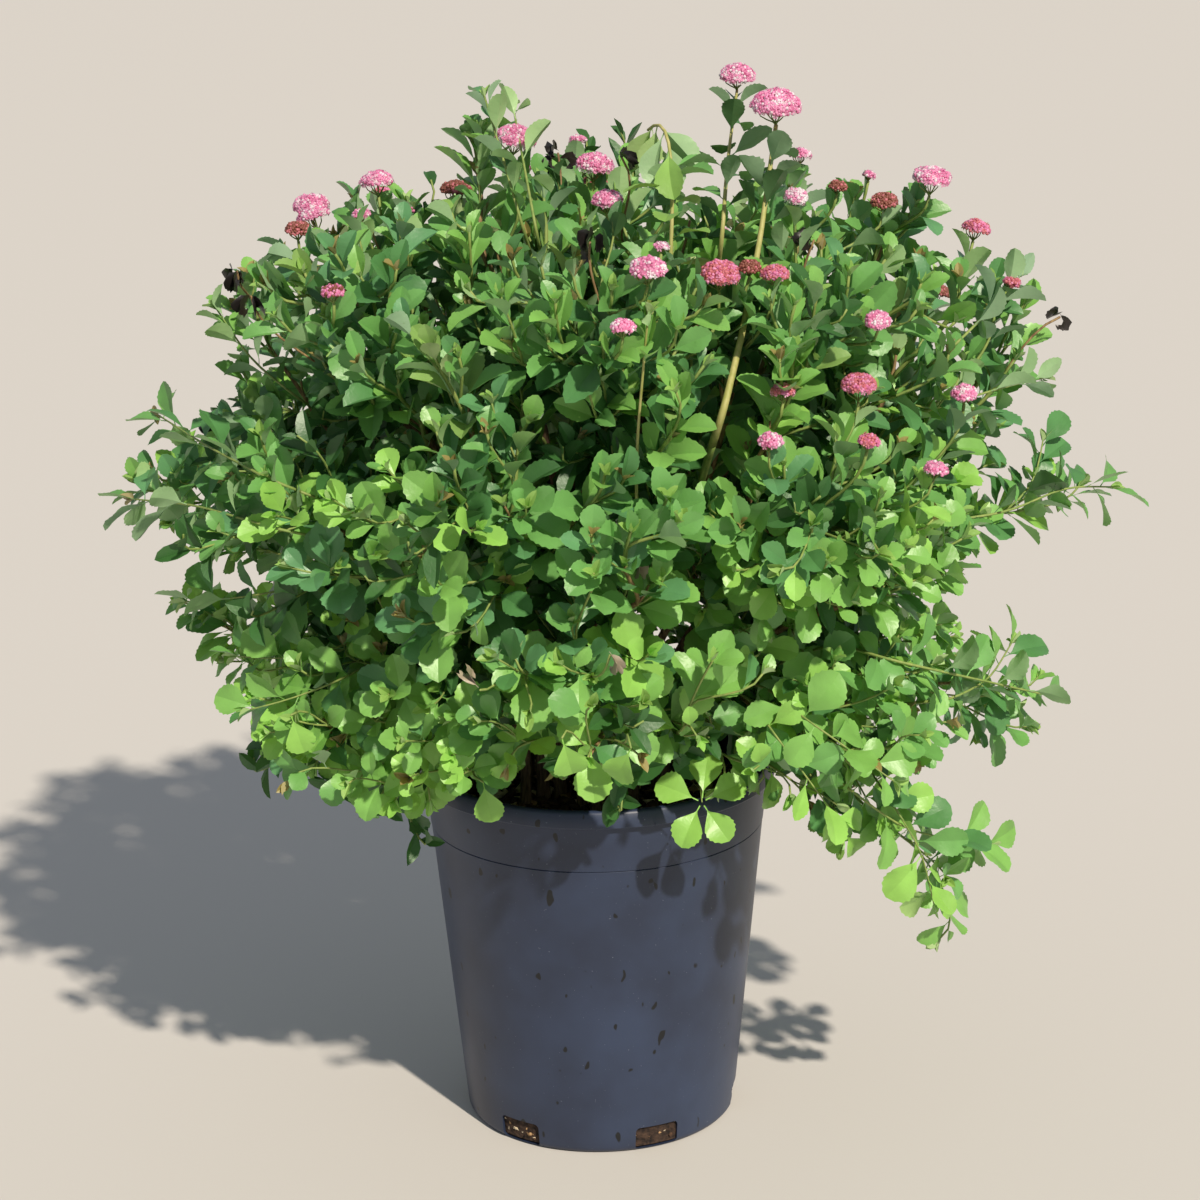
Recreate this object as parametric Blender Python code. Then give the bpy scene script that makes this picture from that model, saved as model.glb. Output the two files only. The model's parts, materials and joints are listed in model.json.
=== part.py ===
"""A dense flowering shrub, spirea, growing from a clump of stems in a black plastic nursery pot.

Metres, +Z up, the pot's front towards -Y, the origin at the middle of the pot's flat underside.
The crown is divided round one point, FORK, that the stems fan out from: each main mass of leaves keeps to
the directions nearest its own stem, so that no stem passes through another one's leaves.
"""

import math

import bmesh
import bpy
from mathutils import Matrix, Vector, noise

GAP = 0.0003                 # left between pieces that rest on each other
HALF_GAP = GAP * 0.6         # what each of two neighbouring masses keeps clear of the wall between them

# the pot: blow-moulded, tapering, with a rolled lip and six drain slots at its foot
POT_HEIGHT = 0.2965
POT_FOOT_RADIUS = 0.1085
POT_TOP_RADIUS = 0.137
POT_WALL = 0.0022
POT_FLOOR = 0.003
FOOT_ROUND = 0.006
FOOT_TURN = (0.25, 0.3)      # a point on the foot's rounding: in from its outside and up, as shares of it
LIP_RADIUS = 0.1425
LIP_INNER_RADIUS = 0.1325
LIP_FOOT = 0.2835            # height of the lip's lower edge
LIP_FACE = 0.008             # height of its upright face, below the rolled top
LIP_SHOULDER = (0.3, 0.4)    # a point on its rolled top: in from the face and down, as shares of the roll
LIP_HEEL = 0.5               # how far the roll comes down inside, as a share of it
BAND_HEIGHT = 0.2455         # where the narrow moulded groove runs round
BAND_STEP = 0.0008
POT_SIDES = 48
DRAIN_COUNT = 6
DRAIN_FIRST = math.radians(293.5)
DRAIN_WIDTH = 0.036
DRAIN_FOOT = 0.0016
DRAIN_TOP = 0.0206
DRAIN_DEPTH = 0.016
DRAIN_CORNER = 0.0035
SOIL_TOP = 0.262
SOIL_EDGE_DROP = 0.004       # the mix is a little lower where it meets the wall
SOIL_EDGE_WIDTH = 0.012

# the stems: each rises from the mix and turns out towards its own mass of leaves
FORK = Vector((0, 0, 0.33))
CLUMP_RADIUS = 0.066
STEM_FOOT = 0.0058           # radii, at the flare, above it and at the tip
STEM_THICK = 0.0044
STEM_THIN = 0.0026
FLARE_SHARE = 0.08
STEM_SIDES = 6
STEM_RINGS = 5
STEM_BUNCHING = 1.3          # over 1, the rings stand closer together at the foot
STEM_RISE = 0.55             # how far up the first handle reaches, as a share of the climb
STEM_ARRIVAL = 0.45          # how far back the second one lies from the tip, as a share of the climb
STEM_ENTRY = 0.62            # where the leaves begin, as a share of the mass's own radius

# the crown: (masses, first bearing, ring radius, height, half width, half height, sag at the sides)
TIERS = {
    "skirt": (6, 30, 0.170, 0.434, 0.146, 0.098, 0.074),
    "middle": (7, 0, 0.186, 0.518, 0.148, 0.122, 0.0),
    "shoulder": (6, 30, 0.160, 0.612, 0.150, 0.126, 0.0),
    "top": (3, 90, 0.060, 0.662, 0.112, 0.102, 0.0),
}
SIDE_NAMES = ("right", "back_right", "back", "back_left", "left", "front_left", "front", "front_right")
TRIMMED = {"skirt_front_left": 0.9}
SWAY = 0.07                  # how far a mass strays from its ring, as a share of the ring's radius
UNEVEN = 0.16                # how lumpy the leaf masses are, as a share of their radius
LUMP_SIZE = 0.8
FINE_LUMPS = 3               # the finer lumps: how many to a radius, and their height to the broad ones
FINE_LUMP_SHARE = 1 / 3
LUMP_SHIFT = 20              # sets one mass's lumps apart from another's
FINE_LUMP_SHIFT = 50
SWAY_TURN = 2                # the same for how far each mass strays, round the crown and up it
SWAY_CLIMB = 9
SWAY_SEED = 1795454354        # any fixed number but 0: without one, noise_vector starts from the clock
LEAST_SHARE = 0.2            # two masses never meet closer than this to the middle of one of them
RIM_REST = 0.003             # how far leaves stay off the pot's lip

# what stands out of the crown: (centre, half sizes)
SPRAYS = {
    "right_spray": ((0.352, -0.010, 0.505), (0.060, 0.042, 0.038)),
    "low_right_spray": ((0.306, -0.055, 0.352), (0.052, 0.048, 0.044)),
    "drooping_spray": ((0.196, -0.090, 0.282), (0.064, 0.056, 0.060)),
    "hanging_spray": ((0.258, -0.080, 0.212), (0.048, 0.040, 0.056)),
    "left_spray": ((-0.318, -0.010, 0.520), (0.050, 0.044, 0.048)),
    "low_left_spray": ((-0.292, -0.030, 0.430), (0.048, 0.040, 0.034)),
    "upper_left_spray": ((-0.252, 0.010, 0.668), (0.040, 0.036, 0.040)),
    "upper_right_spray": ((0.290, -0.025, 0.640), (0.066, 0.056, 0.060)),
    "right_top_shoot": ((0.242, 0.010, 0.712), (0.044, 0.040, 0.046)),
    "tall_flower_shoot": ((0.136, -0.080, 0.752), (0.028, 0.030, 0.074)),
    "second_flower_shoot": ((0.104, -0.020, 0.772), (0.026, 0.028, 0.068)),
    "wilted_shoot": ((0.050, -0.075, 0.758), (0.029, 0.029, 0.052)),
    "left_top_shoot": ((-0.074, 0.000, 0.770), (0.032, 0.032, 0.056)),
}
MAIN_DETAIL = 3
SPRAY_DETAIL = 2


def clear_scene():
    for obj in list(bpy.data.objects):
        bpy.data.objects.remove(obj)


def make_material(name, colour, roughness):
    material = bpy.data.materials.new(name)
    material.use_nodes = True
    shader = material.node_tree.nodes["Principled BSDF"]
    shader.inputs["Base Color"].default_value = (*colour, 1)
    shader.inputs["Roughness"].default_value = roughness
    shader.inputs["Metallic"].default_value = 0
    return material


def add_object(name, bm, material, smooth=True):
    mesh = bpy.data.meshes.new(name)
    bmesh.ops.recalc_face_normals(bm, faces=bm.faces)
    bm.to_mesh(mesh)
    bm.free()
    mesh.materials.append(material)
    if smooth:
        mesh.shade_smooth()
        mesh.set_sharp_from_angle(angle=math.radians(35))
    obj = bpy.data.objects.new(name, mesh)
    bpy.context.scene.collection.objects.link(obj)
    return obj


def turned(name, profile, material):
    """A round solid from a profile of (radius, height) points that starts and ends on the axis."""
    bm = bmesh.new()
    rings = []
    for radius, height in profile:
        if radius == 0:
            rings.append([bm.verts.new((0, 0, height))])
            continue
        turns = [2 * math.pi * side / POT_SIDES for side in range(POT_SIDES)]
        rings.append([bm.verts.new((radius * math.cos(a), radius * math.sin(a), height)) for a in turns])
    for lower, upper in zip(rings, rings[1:]):
        for side in range(POT_SIDES):
            after = (side + 1) % POT_SIDES
            corners = [lower[side % len(lower)], lower[after % len(lower)]]
            corners += [upper[after % len(upper)], upper[side % len(upper)]]
            bm.faces.new(list(dict.fromkeys(corners)))
    return add_object(name, bm, material)


def wall_radius(height):
    """The pot's outer radius at a height."""
    return POT_FOOT_RADIUS + (POT_TOP_RADIUS - POT_FOOT_RADIUS) * height / LIP_FOOT


def build_pot(material):
    outside = [
        (0, 0),
        (POT_FOOT_RADIUS - FOOT_ROUND, 0),
        (POT_FOOT_RADIUS - FOOT_ROUND * FOOT_TURN[0], FOOT_ROUND * FOOT_TURN[1]),
        (wall_radius(FOOT_ROUND), FOOT_ROUND),
        (wall_radius(BAND_HEIGHT), BAND_HEIGHT),
        (wall_radius(BAND_HEIGHT) + BAND_STEP, BAND_HEIGHT + BAND_STEP),
        (wall_radius(LIP_FOOT), LIP_FOOT),
        (LIP_RADIUS, LIP_FOOT + BAND_STEP),
    ]
    roll = POT_HEIGHT - LIP_FOOT - LIP_FACE
    lip = [
        (LIP_RADIUS, LIP_FOOT + LIP_FACE),
        (LIP_RADIUS - roll * LIP_SHOULDER[0], POT_HEIGHT - roll * LIP_SHOULDER[1]),
        (LIP_RADIUS - roll, POT_HEIGHT),
        (LIP_INNER_RADIUS + roll * LIP_SHOULDER[0], POT_HEIGHT),
        (LIP_INNER_RADIUS, POT_HEIGHT - roll * LIP_HEEL),
    ]
    inside = [
        (wall_radius(LIP_FOOT) - POT_WALL, LIP_FOOT),
        (wall_radius(BAND_HEIGHT) - POT_WALL, BAND_HEIGHT),
        (wall_radius(POT_FLOOR) - POT_WALL, POT_FLOOR),
        (0, POT_FLOOR),
    ]
    pot = turned("pot", outside + lip + inside, material)
    cut = pot.modifiers.new("drain_slots", "BOOLEAN")
    cut.operation = "DIFFERENCE"
    cut.object = build_drain_cutter(material)
    return pot


def build_drain_cutter(material):
    """Round-cornered blocks that notch the foot of the wall, all in one helper object."""
    bm = bmesh.new()
    size = Vector((DRAIN_DEPTH, DRAIN_WIDTH, DRAIN_TOP - DRAIN_FOOT))
    for slot in range(DRAIN_COUNT):
        block = bmesh.new()
        bmesh.ops.create_cube(block, size=1)
        bmesh.ops.scale(block, vec=size, verts=block.verts)
        corners = []
        for edge in block.edges:
            if abs(edge.verts[0].co.x - edge.verts[1].co.x) > DRAIN_DEPTH / 2:
                corners.append(edge)
        bmesh.ops.bevel(block, geom=corners, offset=DRAIN_CORNER, segments=3, profile=0.5, affect="EDGES")
        middle = Vector((POT_FOOT_RADIUS, 0, (DRAIN_TOP + DRAIN_FOOT) / 2))
        turn = Matrix.Rotation(DRAIN_FIRST + 2 * math.pi * slot / DRAIN_COUNT, 4, "Z")
        bmesh.ops.transform(block, matrix=turn @ Matrix.Translation(middle), verts=block.verts)
        part = bpy.data.meshes.new("drain_block")
        block.to_mesh(part)
        block.free()
        bm.from_mesh(part)
        bpy.data.meshes.remove(part)
    cutter = add_object("drain_cutter", bm, material, smooth=False)
    cutter.hide_render = True
    return cutter


def build_soil(material):
    """The potting mix, a fraction clear of the pot all round and a little lower at its edge."""
    def inner(height):
        return wall_radius(height) - POT_WALL - GAP

    floor = POT_FLOOR + GAP
    edge = SOIL_TOP - SOIL_EDGE_DROP
    profile = [(0, floor), (inner(floor), floor), (inner(edge), edge)]
    profile += [(inner(edge) - SOIL_EDGE_WIDTH, SOIL_TOP), (0, SOIL_TOP)]
    return turned("potting_mix", profile, material)


def heading_of(point):
    return (Vector(point) - FORK).normalized()


def side_name(bearing):
    """The nearest of the eight sides to a bearing in degrees from +X."""
    return SIDE_NAMES[round(bearing / 45) % len(SIDE_NAMES)]


def crown_masses():
    """{name: (centre, half sizes)} of the main masses of leaves, tier by tier."""
    noise.seed_set(SWAY_SEED)
    masses = {}
    for tier, (count, first, ring, height, half_width, half_height, sag) in TIERS.items():
        for turn in range(count):
            bearing = first + 360 * turn / count
            angle = math.radians(bearing)
            around = Vector((math.cos(angle), math.sin(angle), 0)) * SWAY_TURN
            sway = noise.noise_vector(around + Vector((0, 0, height * SWAY_CLIMB)))
            radius = ring * (1 + SWAY * sway.x)
            fall = sag * abs(math.cos(angle))
            lift = ring * SWAY * sway.z
            centre = Vector((radius * math.cos(angle), radius * math.sin(angle), height - fall + lift))
            name = f"{tier}_{side_name(bearing)}"
            half_sizes = Vector((half_width, half_width, half_height)) * TRIMMED.get(name, 1)
            masses[name] = (centre, half_sizes)
    return masses


def reach_along(heading, half_sizes):
    """The distance from the middle of an ellipsoid to its surface along a heading."""
    return 1 / Vector([h / s for h, s in zip(heading, half_sizes)]).length


def sector_wall(centre, other):
    """The plane through FORK between two main masses, as (normal, offset), on centre's side of it."""
    normal = (heading_of(other) - heading_of(centre)).normalized()
    return normal, normal.dot(FORK) - HALF_GAP


def meeting_wall(centre, half_sizes, other, other_half_sizes):
    """The plane where two masses that lean on each other meet, on centre's side of it."""
    across = other - centre
    normal = across.normalized()
    near = reach_along(normal, half_sizes)
    far = reach_along(-normal, other_half_sizes)
    apart = across.length
    share = (apart**2 + near**2 - far**2) / (2 * apart)
    share = min(max(share, LEAST_SHARE * apart), (1 - LEAST_SHARE) * apart)
    return normal, normal.dot(centre) + share - HALF_GAP


def rim_wall(centre):
    """A sloping plane that rests on the pot's lip and keeps the leaves above and outside it."""
    out = Vector((centre.x, centre.y, 0)).normalized()
    normal = -(out + Vector((0, 0, 1))).normalized()
    corner = out * LIP_RADIUS + Vector((0, 0, POT_HEIGHT))
    return normal, normal.dot(corner) - RIM_REST


def stem_wall(centre, half_sizes):
    """The flat that a stem ends against, as (normal, offset), and how far it lies from the centre."""
    heading = heading_of(centre)
    depth = STEM_ENTRY * reach_along(-heading, half_sizes)
    return -heading, -heading.dot(centre) + depth


def trim(bm, normal, limit):
    """Cut off whatever lies past a plane, limit away from the middle, and close the cut with a flat."""
    if max(vertex.co.dot(normal) for vertex in bm.verts) <= limit:
        return
    everything = bm.verts[:] + bm.edges[:] + bm.faces[:]
    bmesh.ops.bisect_plane(bm, geom=everything, plane_co=normal * limit, plane_no=normal, clear_outer=True)
    rim = [edge for edge in bm.edges if edge.is_boundary]
    bmesh.ops.holes_fill(bm, edges=rim, sides=0)


def build_mass(name, centre, half_sizes, walls, detail, material):
    """An uneven closed solid round its centre, cut back by planes that it stays inside."""
    bm = bmesh.new()
    bmesh.ops.create_icosphere(bm, subdivisions=detail, radius=1)
    for vertex in bm.verts:
        heading = vertex.co.normalized()
        broad = noise.noise(heading / LUMP_SIZE + centre * LUMP_SHIFT)
        fine = noise.noise(heading * FINE_LUMPS + centre * FINE_LUMP_SHIFT)
        lump = broad + fine * FINE_LUMP_SHARE
        vertex.co = heading * reach_along(heading, half_sizes) * (1 + UNEVEN * lump)
    for normal, offset in walls:
        trim(bm, normal, offset - normal.dot(centre))
    bmesh.ops.remove_doubles(bm, verts=bm.verts, dist=GAP / 2)
    bmesh.ops.triangulate(bm, faces=bm.faces)
    obj = add_object(name, bm, material)
    obj.location = centre
    return obj


def build_stem(name, centre, half_sizes, material):
    """One tapering stem, from a flat cut on the potting mix to the flat on its mass of leaves."""
    heading = heading_of(centre)
    out = Vector((heading.x, heading.y, 0))
    foot = out * CLUMP_RADIUS + Vector((0, 0, SOIL_TOP + GAP))
    tip_depth = STEM_ENTRY * reach_along(-heading, half_sizes) + GAP
    tip = centre - heading * tip_depth
    climb = tip.z - foot.z
    handles = [foot, foot + Vector((0, 0, climb * STEM_RISE)), tip - heading * climb * STEM_ARRIVAL, tip]
    bm = bmesh.new()
    rings = []
    for step in range(STEM_RINGS + 1):
        share = (step / STEM_RINGS) ** STEM_BUNCHING
        middle, along = bezier_point(handles, share)
        radius = stem_radius(share)
        side_axis = Vector((-out.y, out.x, 0)).normalized()
        up_axis = along.cross(side_axis).normalized()
        ring = []
        for side in range(STEM_SIDES):
            turn = 2 * math.pi * side / STEM_SIDES
            spoke = side_axis * math.cos(turn) + up_axis * math.sin(turn)
            ring.append(bm.verts.new(middle + spoke * radius))
        rings.append(ring)
    for lower, upper in zip(rings, rings[1:]):
        for side in range(STEM_SIDES):
            after = (side + 1) % STEM_SIDES
            bm.faces.new((lower[side], lower[after], upper[after], upper[side]))
    bm.faces.new(rings[0])
    bm.faces.new(rings[-1])
    return add_object(name, bm, material)


def bezier_point(handles, share):
    """A point on a cubic curve and its direction there."""
    a, b, c, d = handles
    rest = 1 - share
    point = a * rest**3 + b * 3 * rest**2 * share + c * 3 * rest * share**2 + d * share**3
    along = (b - a) * rest**2 + (c - b) * 2 * rest * share + (d - c) * share**2
    return point, along.normalized()


def stem_radius(share):
    if share < FLARE_SHARE:
        return STEM_FOOT + (STEM_THICK - STEM_FOOT) * share / FLARE_SHARE
    return STEM_THICK + (STEM_THIN - STEM_THICK) * (share - FLARE_SHARE) / (1 - FLARE_SHARE)


def build_crown(leaf, bark):
    masses = crown_masses()
    sprays = {name: (Vector(centre), Vector(sizes)) for name, (centre, sizes) in SPRAYS.items()}
    for name, (centre, half_sizes) in masses.items():
        walls = [sector_wall(centre, other) for key, (other, _) in masses.items() if key != name]
        walls += [meeting_wall(centre, half_sizes, *spray) for spray in sprays.values()]
        walls += [stem_wall(centre, half_sizes), rim_wall(centre)]
        build_mass(f"leaves_{name}", centre, half_sizes, walls, MAIN_DETAIL, leaf)
        build_stem(f"stem_{name}", centre, half_sizes, bark)
    for name, (centre, half_sizes) in sprays.items():
        others = [mass for key, mass in {**masses, **sprays}.items() if key != name]
        walls = [meeting_wall(centre, half_sizes, *other) for other in others]
        walls.append(rim_wall(centre))
        build_mass(f"leaves_{name}", centre, half_sizes, walls, SPRAY_DETAIL, leaf)


def main():
    clear_scene()
    plastic = make_material("black_plastic", (0.022, 0.024, 0.030), 0.42)
    mix = make_material("potting_mix", (0.055, 0.032, 0.020), 0.95)
    bark = make_material("bark", (0.20, 0.13, 0.075), 0.8)
    leaf = make_material("leaf", (0.10, 0.24, 0.045), 0.55)
    build_pot(plastic)
    build_soil(mix)
    build_crown(leaf, bark)


main()
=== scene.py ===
import json
import math
import bmesh
import bpy
import numpy as np
from mathutils import Matrix, Vector, noise
from mathutils.bvhtree import BVHTree

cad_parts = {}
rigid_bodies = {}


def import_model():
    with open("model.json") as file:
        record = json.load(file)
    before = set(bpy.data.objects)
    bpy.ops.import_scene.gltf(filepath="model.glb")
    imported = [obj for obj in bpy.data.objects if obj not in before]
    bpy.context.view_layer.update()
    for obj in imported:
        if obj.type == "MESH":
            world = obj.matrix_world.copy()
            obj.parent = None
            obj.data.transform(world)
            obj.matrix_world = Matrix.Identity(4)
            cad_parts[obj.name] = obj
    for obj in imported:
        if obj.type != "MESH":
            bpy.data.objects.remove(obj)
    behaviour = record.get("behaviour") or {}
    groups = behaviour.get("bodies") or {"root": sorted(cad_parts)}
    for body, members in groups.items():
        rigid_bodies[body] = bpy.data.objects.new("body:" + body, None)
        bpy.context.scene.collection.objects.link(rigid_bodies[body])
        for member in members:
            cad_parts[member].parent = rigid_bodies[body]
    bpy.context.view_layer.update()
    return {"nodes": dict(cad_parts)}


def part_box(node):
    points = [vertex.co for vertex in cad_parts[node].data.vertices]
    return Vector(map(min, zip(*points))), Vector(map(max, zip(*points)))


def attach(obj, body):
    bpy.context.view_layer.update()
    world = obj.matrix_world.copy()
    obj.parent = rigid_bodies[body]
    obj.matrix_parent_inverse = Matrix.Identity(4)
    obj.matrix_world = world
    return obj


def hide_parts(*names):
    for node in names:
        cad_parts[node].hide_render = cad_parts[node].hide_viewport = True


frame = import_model()
nodes = frame["nodes"]
scene = bpy.context.scene
scene.view_settings.view_transform = "Standard"

draw = np.random.default_rng(27)   # every random choice below comes from this one seed, in order
upward = np.array((0.0, 0.0, 1.0))
goldenTurn = 2.39996               # radians from one leaf or bud to the next along a spiral


def unit(v):
    return v / max(float(np.linalg.norm(v)), 1e-9)


def between(pair):
    return float(draw.uniform(*pair))


def mixed(a, b, share):
    return a + (b - a) * share


def within(spot, room):
    return math.hypot(spot[0], spot[1]) < room["radius"] and spot[2] < room["height"]


def ramp(value, low, high):
    return min(1.0, max(0.0, (value - low) / (high - low)))


def arcsOf(points):
    return np.concatenate(([0.0], np.cumsum(np.linalg.norm(np.diff(points, axis=0), axis=1))))


def sampled(points, arcs, steps):
    return np.stack([np.interp(steps, arcs, points[:, k]) for k in range(3)], axis=1)


def smoothed(points, rounds):
    for _ in range(rounds):
        points[1:-1] = (points[:-2] + points[1:-1] * 2 + points[2:]) / 4
    return points


# camera, light and floor

shot = {
    "place": (0.005, -2.284, 1.066),
    "pitch": 15.72,          # degrees below the horizon
    "roll": 0.89,
    "lens": 90.66,
    "sensor": 36.0,
    "frameWidth": 1200,      # pixels
}
studio = {
    "sunTravel": (-0.52, 1.0, -1.02),
    "sunStrength": 4.5,
    "sunAngle": 1.7,         # degrees across, for soft edges
    "sunColour": "#fff3e2",
    "skyColour": "#dfe8f6",
    "skyStrength": 0.39,
    "floorColour": "#c9c6c1",
    "floorSize": 60.0,
}


def linear(hexColour):
    parts = [int(hexColour[i:i + 2], 16) / 255 for i in (1, 3, 5)]
    return tuple(p / 12.92 if p <= 0.04045 else ((p + 0.055) / 1.055) ** 2.4 for p in parts) + (1.0,)


def addNode(tree, kind, links=None, **settings):
    node = tree.nodes.new(kind)
    for name, value in settings.items():
        setattr(node, name, value)
    for key, value in (links or {}).items():
        if isinstance(value, bpy.types.NodeSocket):
            tree.links.new(value, node.inputs[key])
        else:
            node.inputs[key].default_value = value
    return node


def setStage():
    camera = bpy.data.objects.new("camera", bpy.data.cameras.new("camera"))
    camera.location = shot["place"]
    camera.rotation_mode = "ZYX"
    camera.rotation_euler = (math.radians(90 - shot["pitch"]), 0, -math.radians(shot["roll"]))
    camera.data.lens = shot["lens"]
    camera.data.sensor_width = shot["sensor"]
    camera.data.clip_end = 200
    scene.collection.objects.link(camera)
    scene.camera = camera

    sun = bpy.data.objects.new("key_light", bpy.data.lights.new("key_light", "SUN"))
    sun.data.energy = studio["sunStrength"]
    sun.data.angle = math.radians(studio["sunAngle"])
    sun.data.color = linear(studio["sunColour"])[:3]
    sun.rotation_mode = "QUATERNION"
    sun.rotation_quaternion = Vector(studio["sunTravel"]).to_track_quat("-Z", "Y")
    scene.collection.objects.link(sun)

    world = bpy.data.worlds.new("studio")
    world.use_nodes = True
    backdrop = world.node_tree.nodes["Background"]
    backdrop.inputs["Color"].default_value = linear(studio["skyColour"])
    backdrop.inputs["Strength"].default_value = studio["skyStrength"]
    scene.world = world

    half = studio["floorSize"] / 2
    mesh = bpy.data.meshes.new("floor")
    corners = [(-half, -half, 0), (half, -half, 0), (half, half, 0), (-half, half, 0)]
    mesh.from_pydata(corners, [], [(0, 1, 2, 3)])
    floor = bpy.data.objects.new("floor", mesh)
    material = bpy.data.materials.new("paintedConcreteFloor")
    material.use_nodes = True
    shader = material.node_tree.nodes["Principled BSDF"]
    shader.inputs["Base Color"].default_value = linear(studio["floorColour"])
    shader.inputs["Roughness"].default_value = 0.85
    mesh.materials.append(material)
    scene.collection.objects.link(floor)


setStage()
print("stage set")


# the camera's lines of sight, for pieces with a known place in the frame

def sightLine(x, y):
    turn, down = math.radians(shot["roll"]), math.radians(shot["pitch"])
    middle, focal = shot["frameWidth"] / 2, shot["frameWidth"] * shot["lens"] / shot["sensor"]
    across, below = x - middle, y - middle
    right = (across * math.cos(turn) - below * math.sin(turn)) / focal
    rise = -(across * math.sin(turn) + below * math.cos(turn)) / focal
    heading = (right, math.cos(down) + rise * math.sin(down), rise * math.cos(down) - math.sin(down))
    return np.array(shot["place"]), np.array(heading)


def massMesh(name):
    mesh = nodes[name].data
    corners = np.array([tuple(v.co) for v in mesh.vertices])
    return corners, np.array([tuple(p.vertices) for p in mesh.polygons])


massNames = sorted(name for name in nodes if name.startswith("leaves_"))
masses, allCorners, allFaces, faceMass = [], [], [], []
for index, name in enumerate(massNames):
    corners, faces = massMesh(name)
    masses.append({"name": name, "middle": corners.mean(axis=0)})
    allFaces.append(faces + sum(len(c) for c in allCorners))
    allCorners.append(corners)
    faceMass += [index] * len(faces)
allCorners, allFaces = np.concatenate(allCorners), np.concatenate(allFaces)
crown = BVHTree.FromPolygons([tuple(c) for c in allCorners], [tuple(map(int, f)) for f in allFaces])


def crownAt(x, y, lift=0.0):
    # where the line of sight through a pixel meets the crown, or passes closest to it
    eye, heading = sightLine(x, y)
    hit, normal, face, distance = crown.ray_cast(Vector(eye), Vector(heading).normalized(), 10)
    if hit is not None:
        return np.array(hit) - unit(heading) * lift, unit(np.array(normal)), faceMass[face]
    best = None
    for step in np.linspace(1.9, 2.8, 181):
        spot = eye + heading * step
        near, normal, face, distance = crown.find_nearest(Vector(spot))
        if best is None or distance < best[0]:
            best = (distance, spot, np.array(near), face)
    distance, spot, near, face = best
    return spot, unit(spot - near), faceMass[face]


# growth: every stem, bough and shoot is a line that grows out of another one

growth = {
    "tipSpacing": 0.041,     # between the tips of neighbouring shoots at the crown's surface
    "deepSpacing": 0.056,    # the same for the ones that end inside
    "inset": (0.006, 0.026),
    "deepInset": (0.040, 0.075),
    "coreSpacing": 0.051,    # and for the simple-leaved ones that close the view through the crown
    "coreInset": (0.085, 0.150),
    "thickening": 0.43,      # a bough's radius grows with its shoots' number to this power
    "thickest": 0.0026,
    "gap": 0.018,            # masses closer than this count as grown together
    "reachCost": 0.55,
    "turnCost": 0.05,
    "shortest": 0.045,
    "rootLength": 0.095,     # least length of what joins a stem that stands out to the boughs
    "boughEnd": 0.97,        # how far a stem's bough goes towards the middle of its mass
    "stepLength": 0.0115,
    "boughStep": 0.012,
    "keepOn": 0.55,          # how much a line keeps to the heading of the wood that it leaves
    "turnTo": 0.60,          # and how much it turns to its tip at once
    "leaving": 0.32,         # share of its length for each of its two bends
    "arriving": 0.36,
    "sway": 0.045,
    "archingTo": 0.36,       # tips up to this height arch outwards
    "standingFrom": 0.66,    # and from this height they stand up
    "tries": 14,             # spots tried for each one that fits
}
lines = []
spotPlace, spotHeading, spotReach, spotLine, spotArc, spotMass = [], [], [], [], [], []


def addLine(points, parent, at, mass, kind, reach, first=0.25, last=0.72, **more):
    points = np.asarray(points, float)
    arcs = arcsOf(points)
    line = {"points": points, "arcs": arcs, "parent": parent, "at": at, "mass": mass, "kind": kind}
    line.update(more)
    lines.append(line)
    for i in range(1, len(points)):
        if first <= arcs[i] / arcs[-1] <= last:
            spotPlace.append(points[i])
            spotHeading.append(unit(points[i] - points[i - 1]))
            spotReach.append(reach + arcs[i])
            spotLine.append(len(lines) - 1)
            spotArc.append(arcs[i])
            spotMass.append(mass)
    return len(lines) - 1


def curve(a, b, c, d, count):
    t = np.linspace(0, 1, count)[:, None]
    return a * (1 - t) ** 3 + 3 * b * t * (1 - t) ** 2 + 3 * c * t * t * (1 - t) + d * t ** 3


def growTo(tip, wish, allowed, kind, owner=None, least=growth["shortest"], **more):
    # the cheapest place to leave the wood that is already there: near, not far from the root, little turn
    places, headings, reaches = np.array(spotPlace), np.array(spotHeading), np.array(spotReach)
    away = tip - places
    distance = np.linalg.norm(away, axis=1)
    turn = 1 - np.sum(headings * away, axis=1) / np.maximum(distance, 1e-6)
    cost = distance + growth["reachCost"] * reaches + growth["turnCost"] * turn
    cost = cost + (distance < least) * 1.0
    if allowed is not None:
        cost = cost + ~np.isin(np.array(spotMass), list(allowed)) * 5.0
    chosen = int(np.argmin(cost))
    start, span = places[chosen], distance[chosen]
    heading = unit(headings[chosen] * growth["keepOn"] + unit(away[chosen]) * growth["turnTo"])
    sway = draw.normal(0, growth["sway"], 3) * span
    leave = start + heading * span * growth["leaving"] + sway
    arrive = tip - wish * span * growth["arriving"]
    points = curve(start, leave, arrive, tip, max(5, int(span / growth["stepLength"]) + 2))
    mass = spotMass[chosen] if owner is None else owner
    return addLine(points, spotLine[chosen], spotArc[chosen], mass, kind, reaches[chosen], **more)


def tipWish(normal, height):
    # low shoots arch outwards, high ones stand up
    rise = ramp(height, growth["archingTo"], growth["standingFrom"])
    wish = normal * mixed(1.0, 0.5, rise) + upward * mixed(0.12, 1.15, rise) + draw.normal(0, 0.16, 3)
    return unit(wish)


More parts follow.
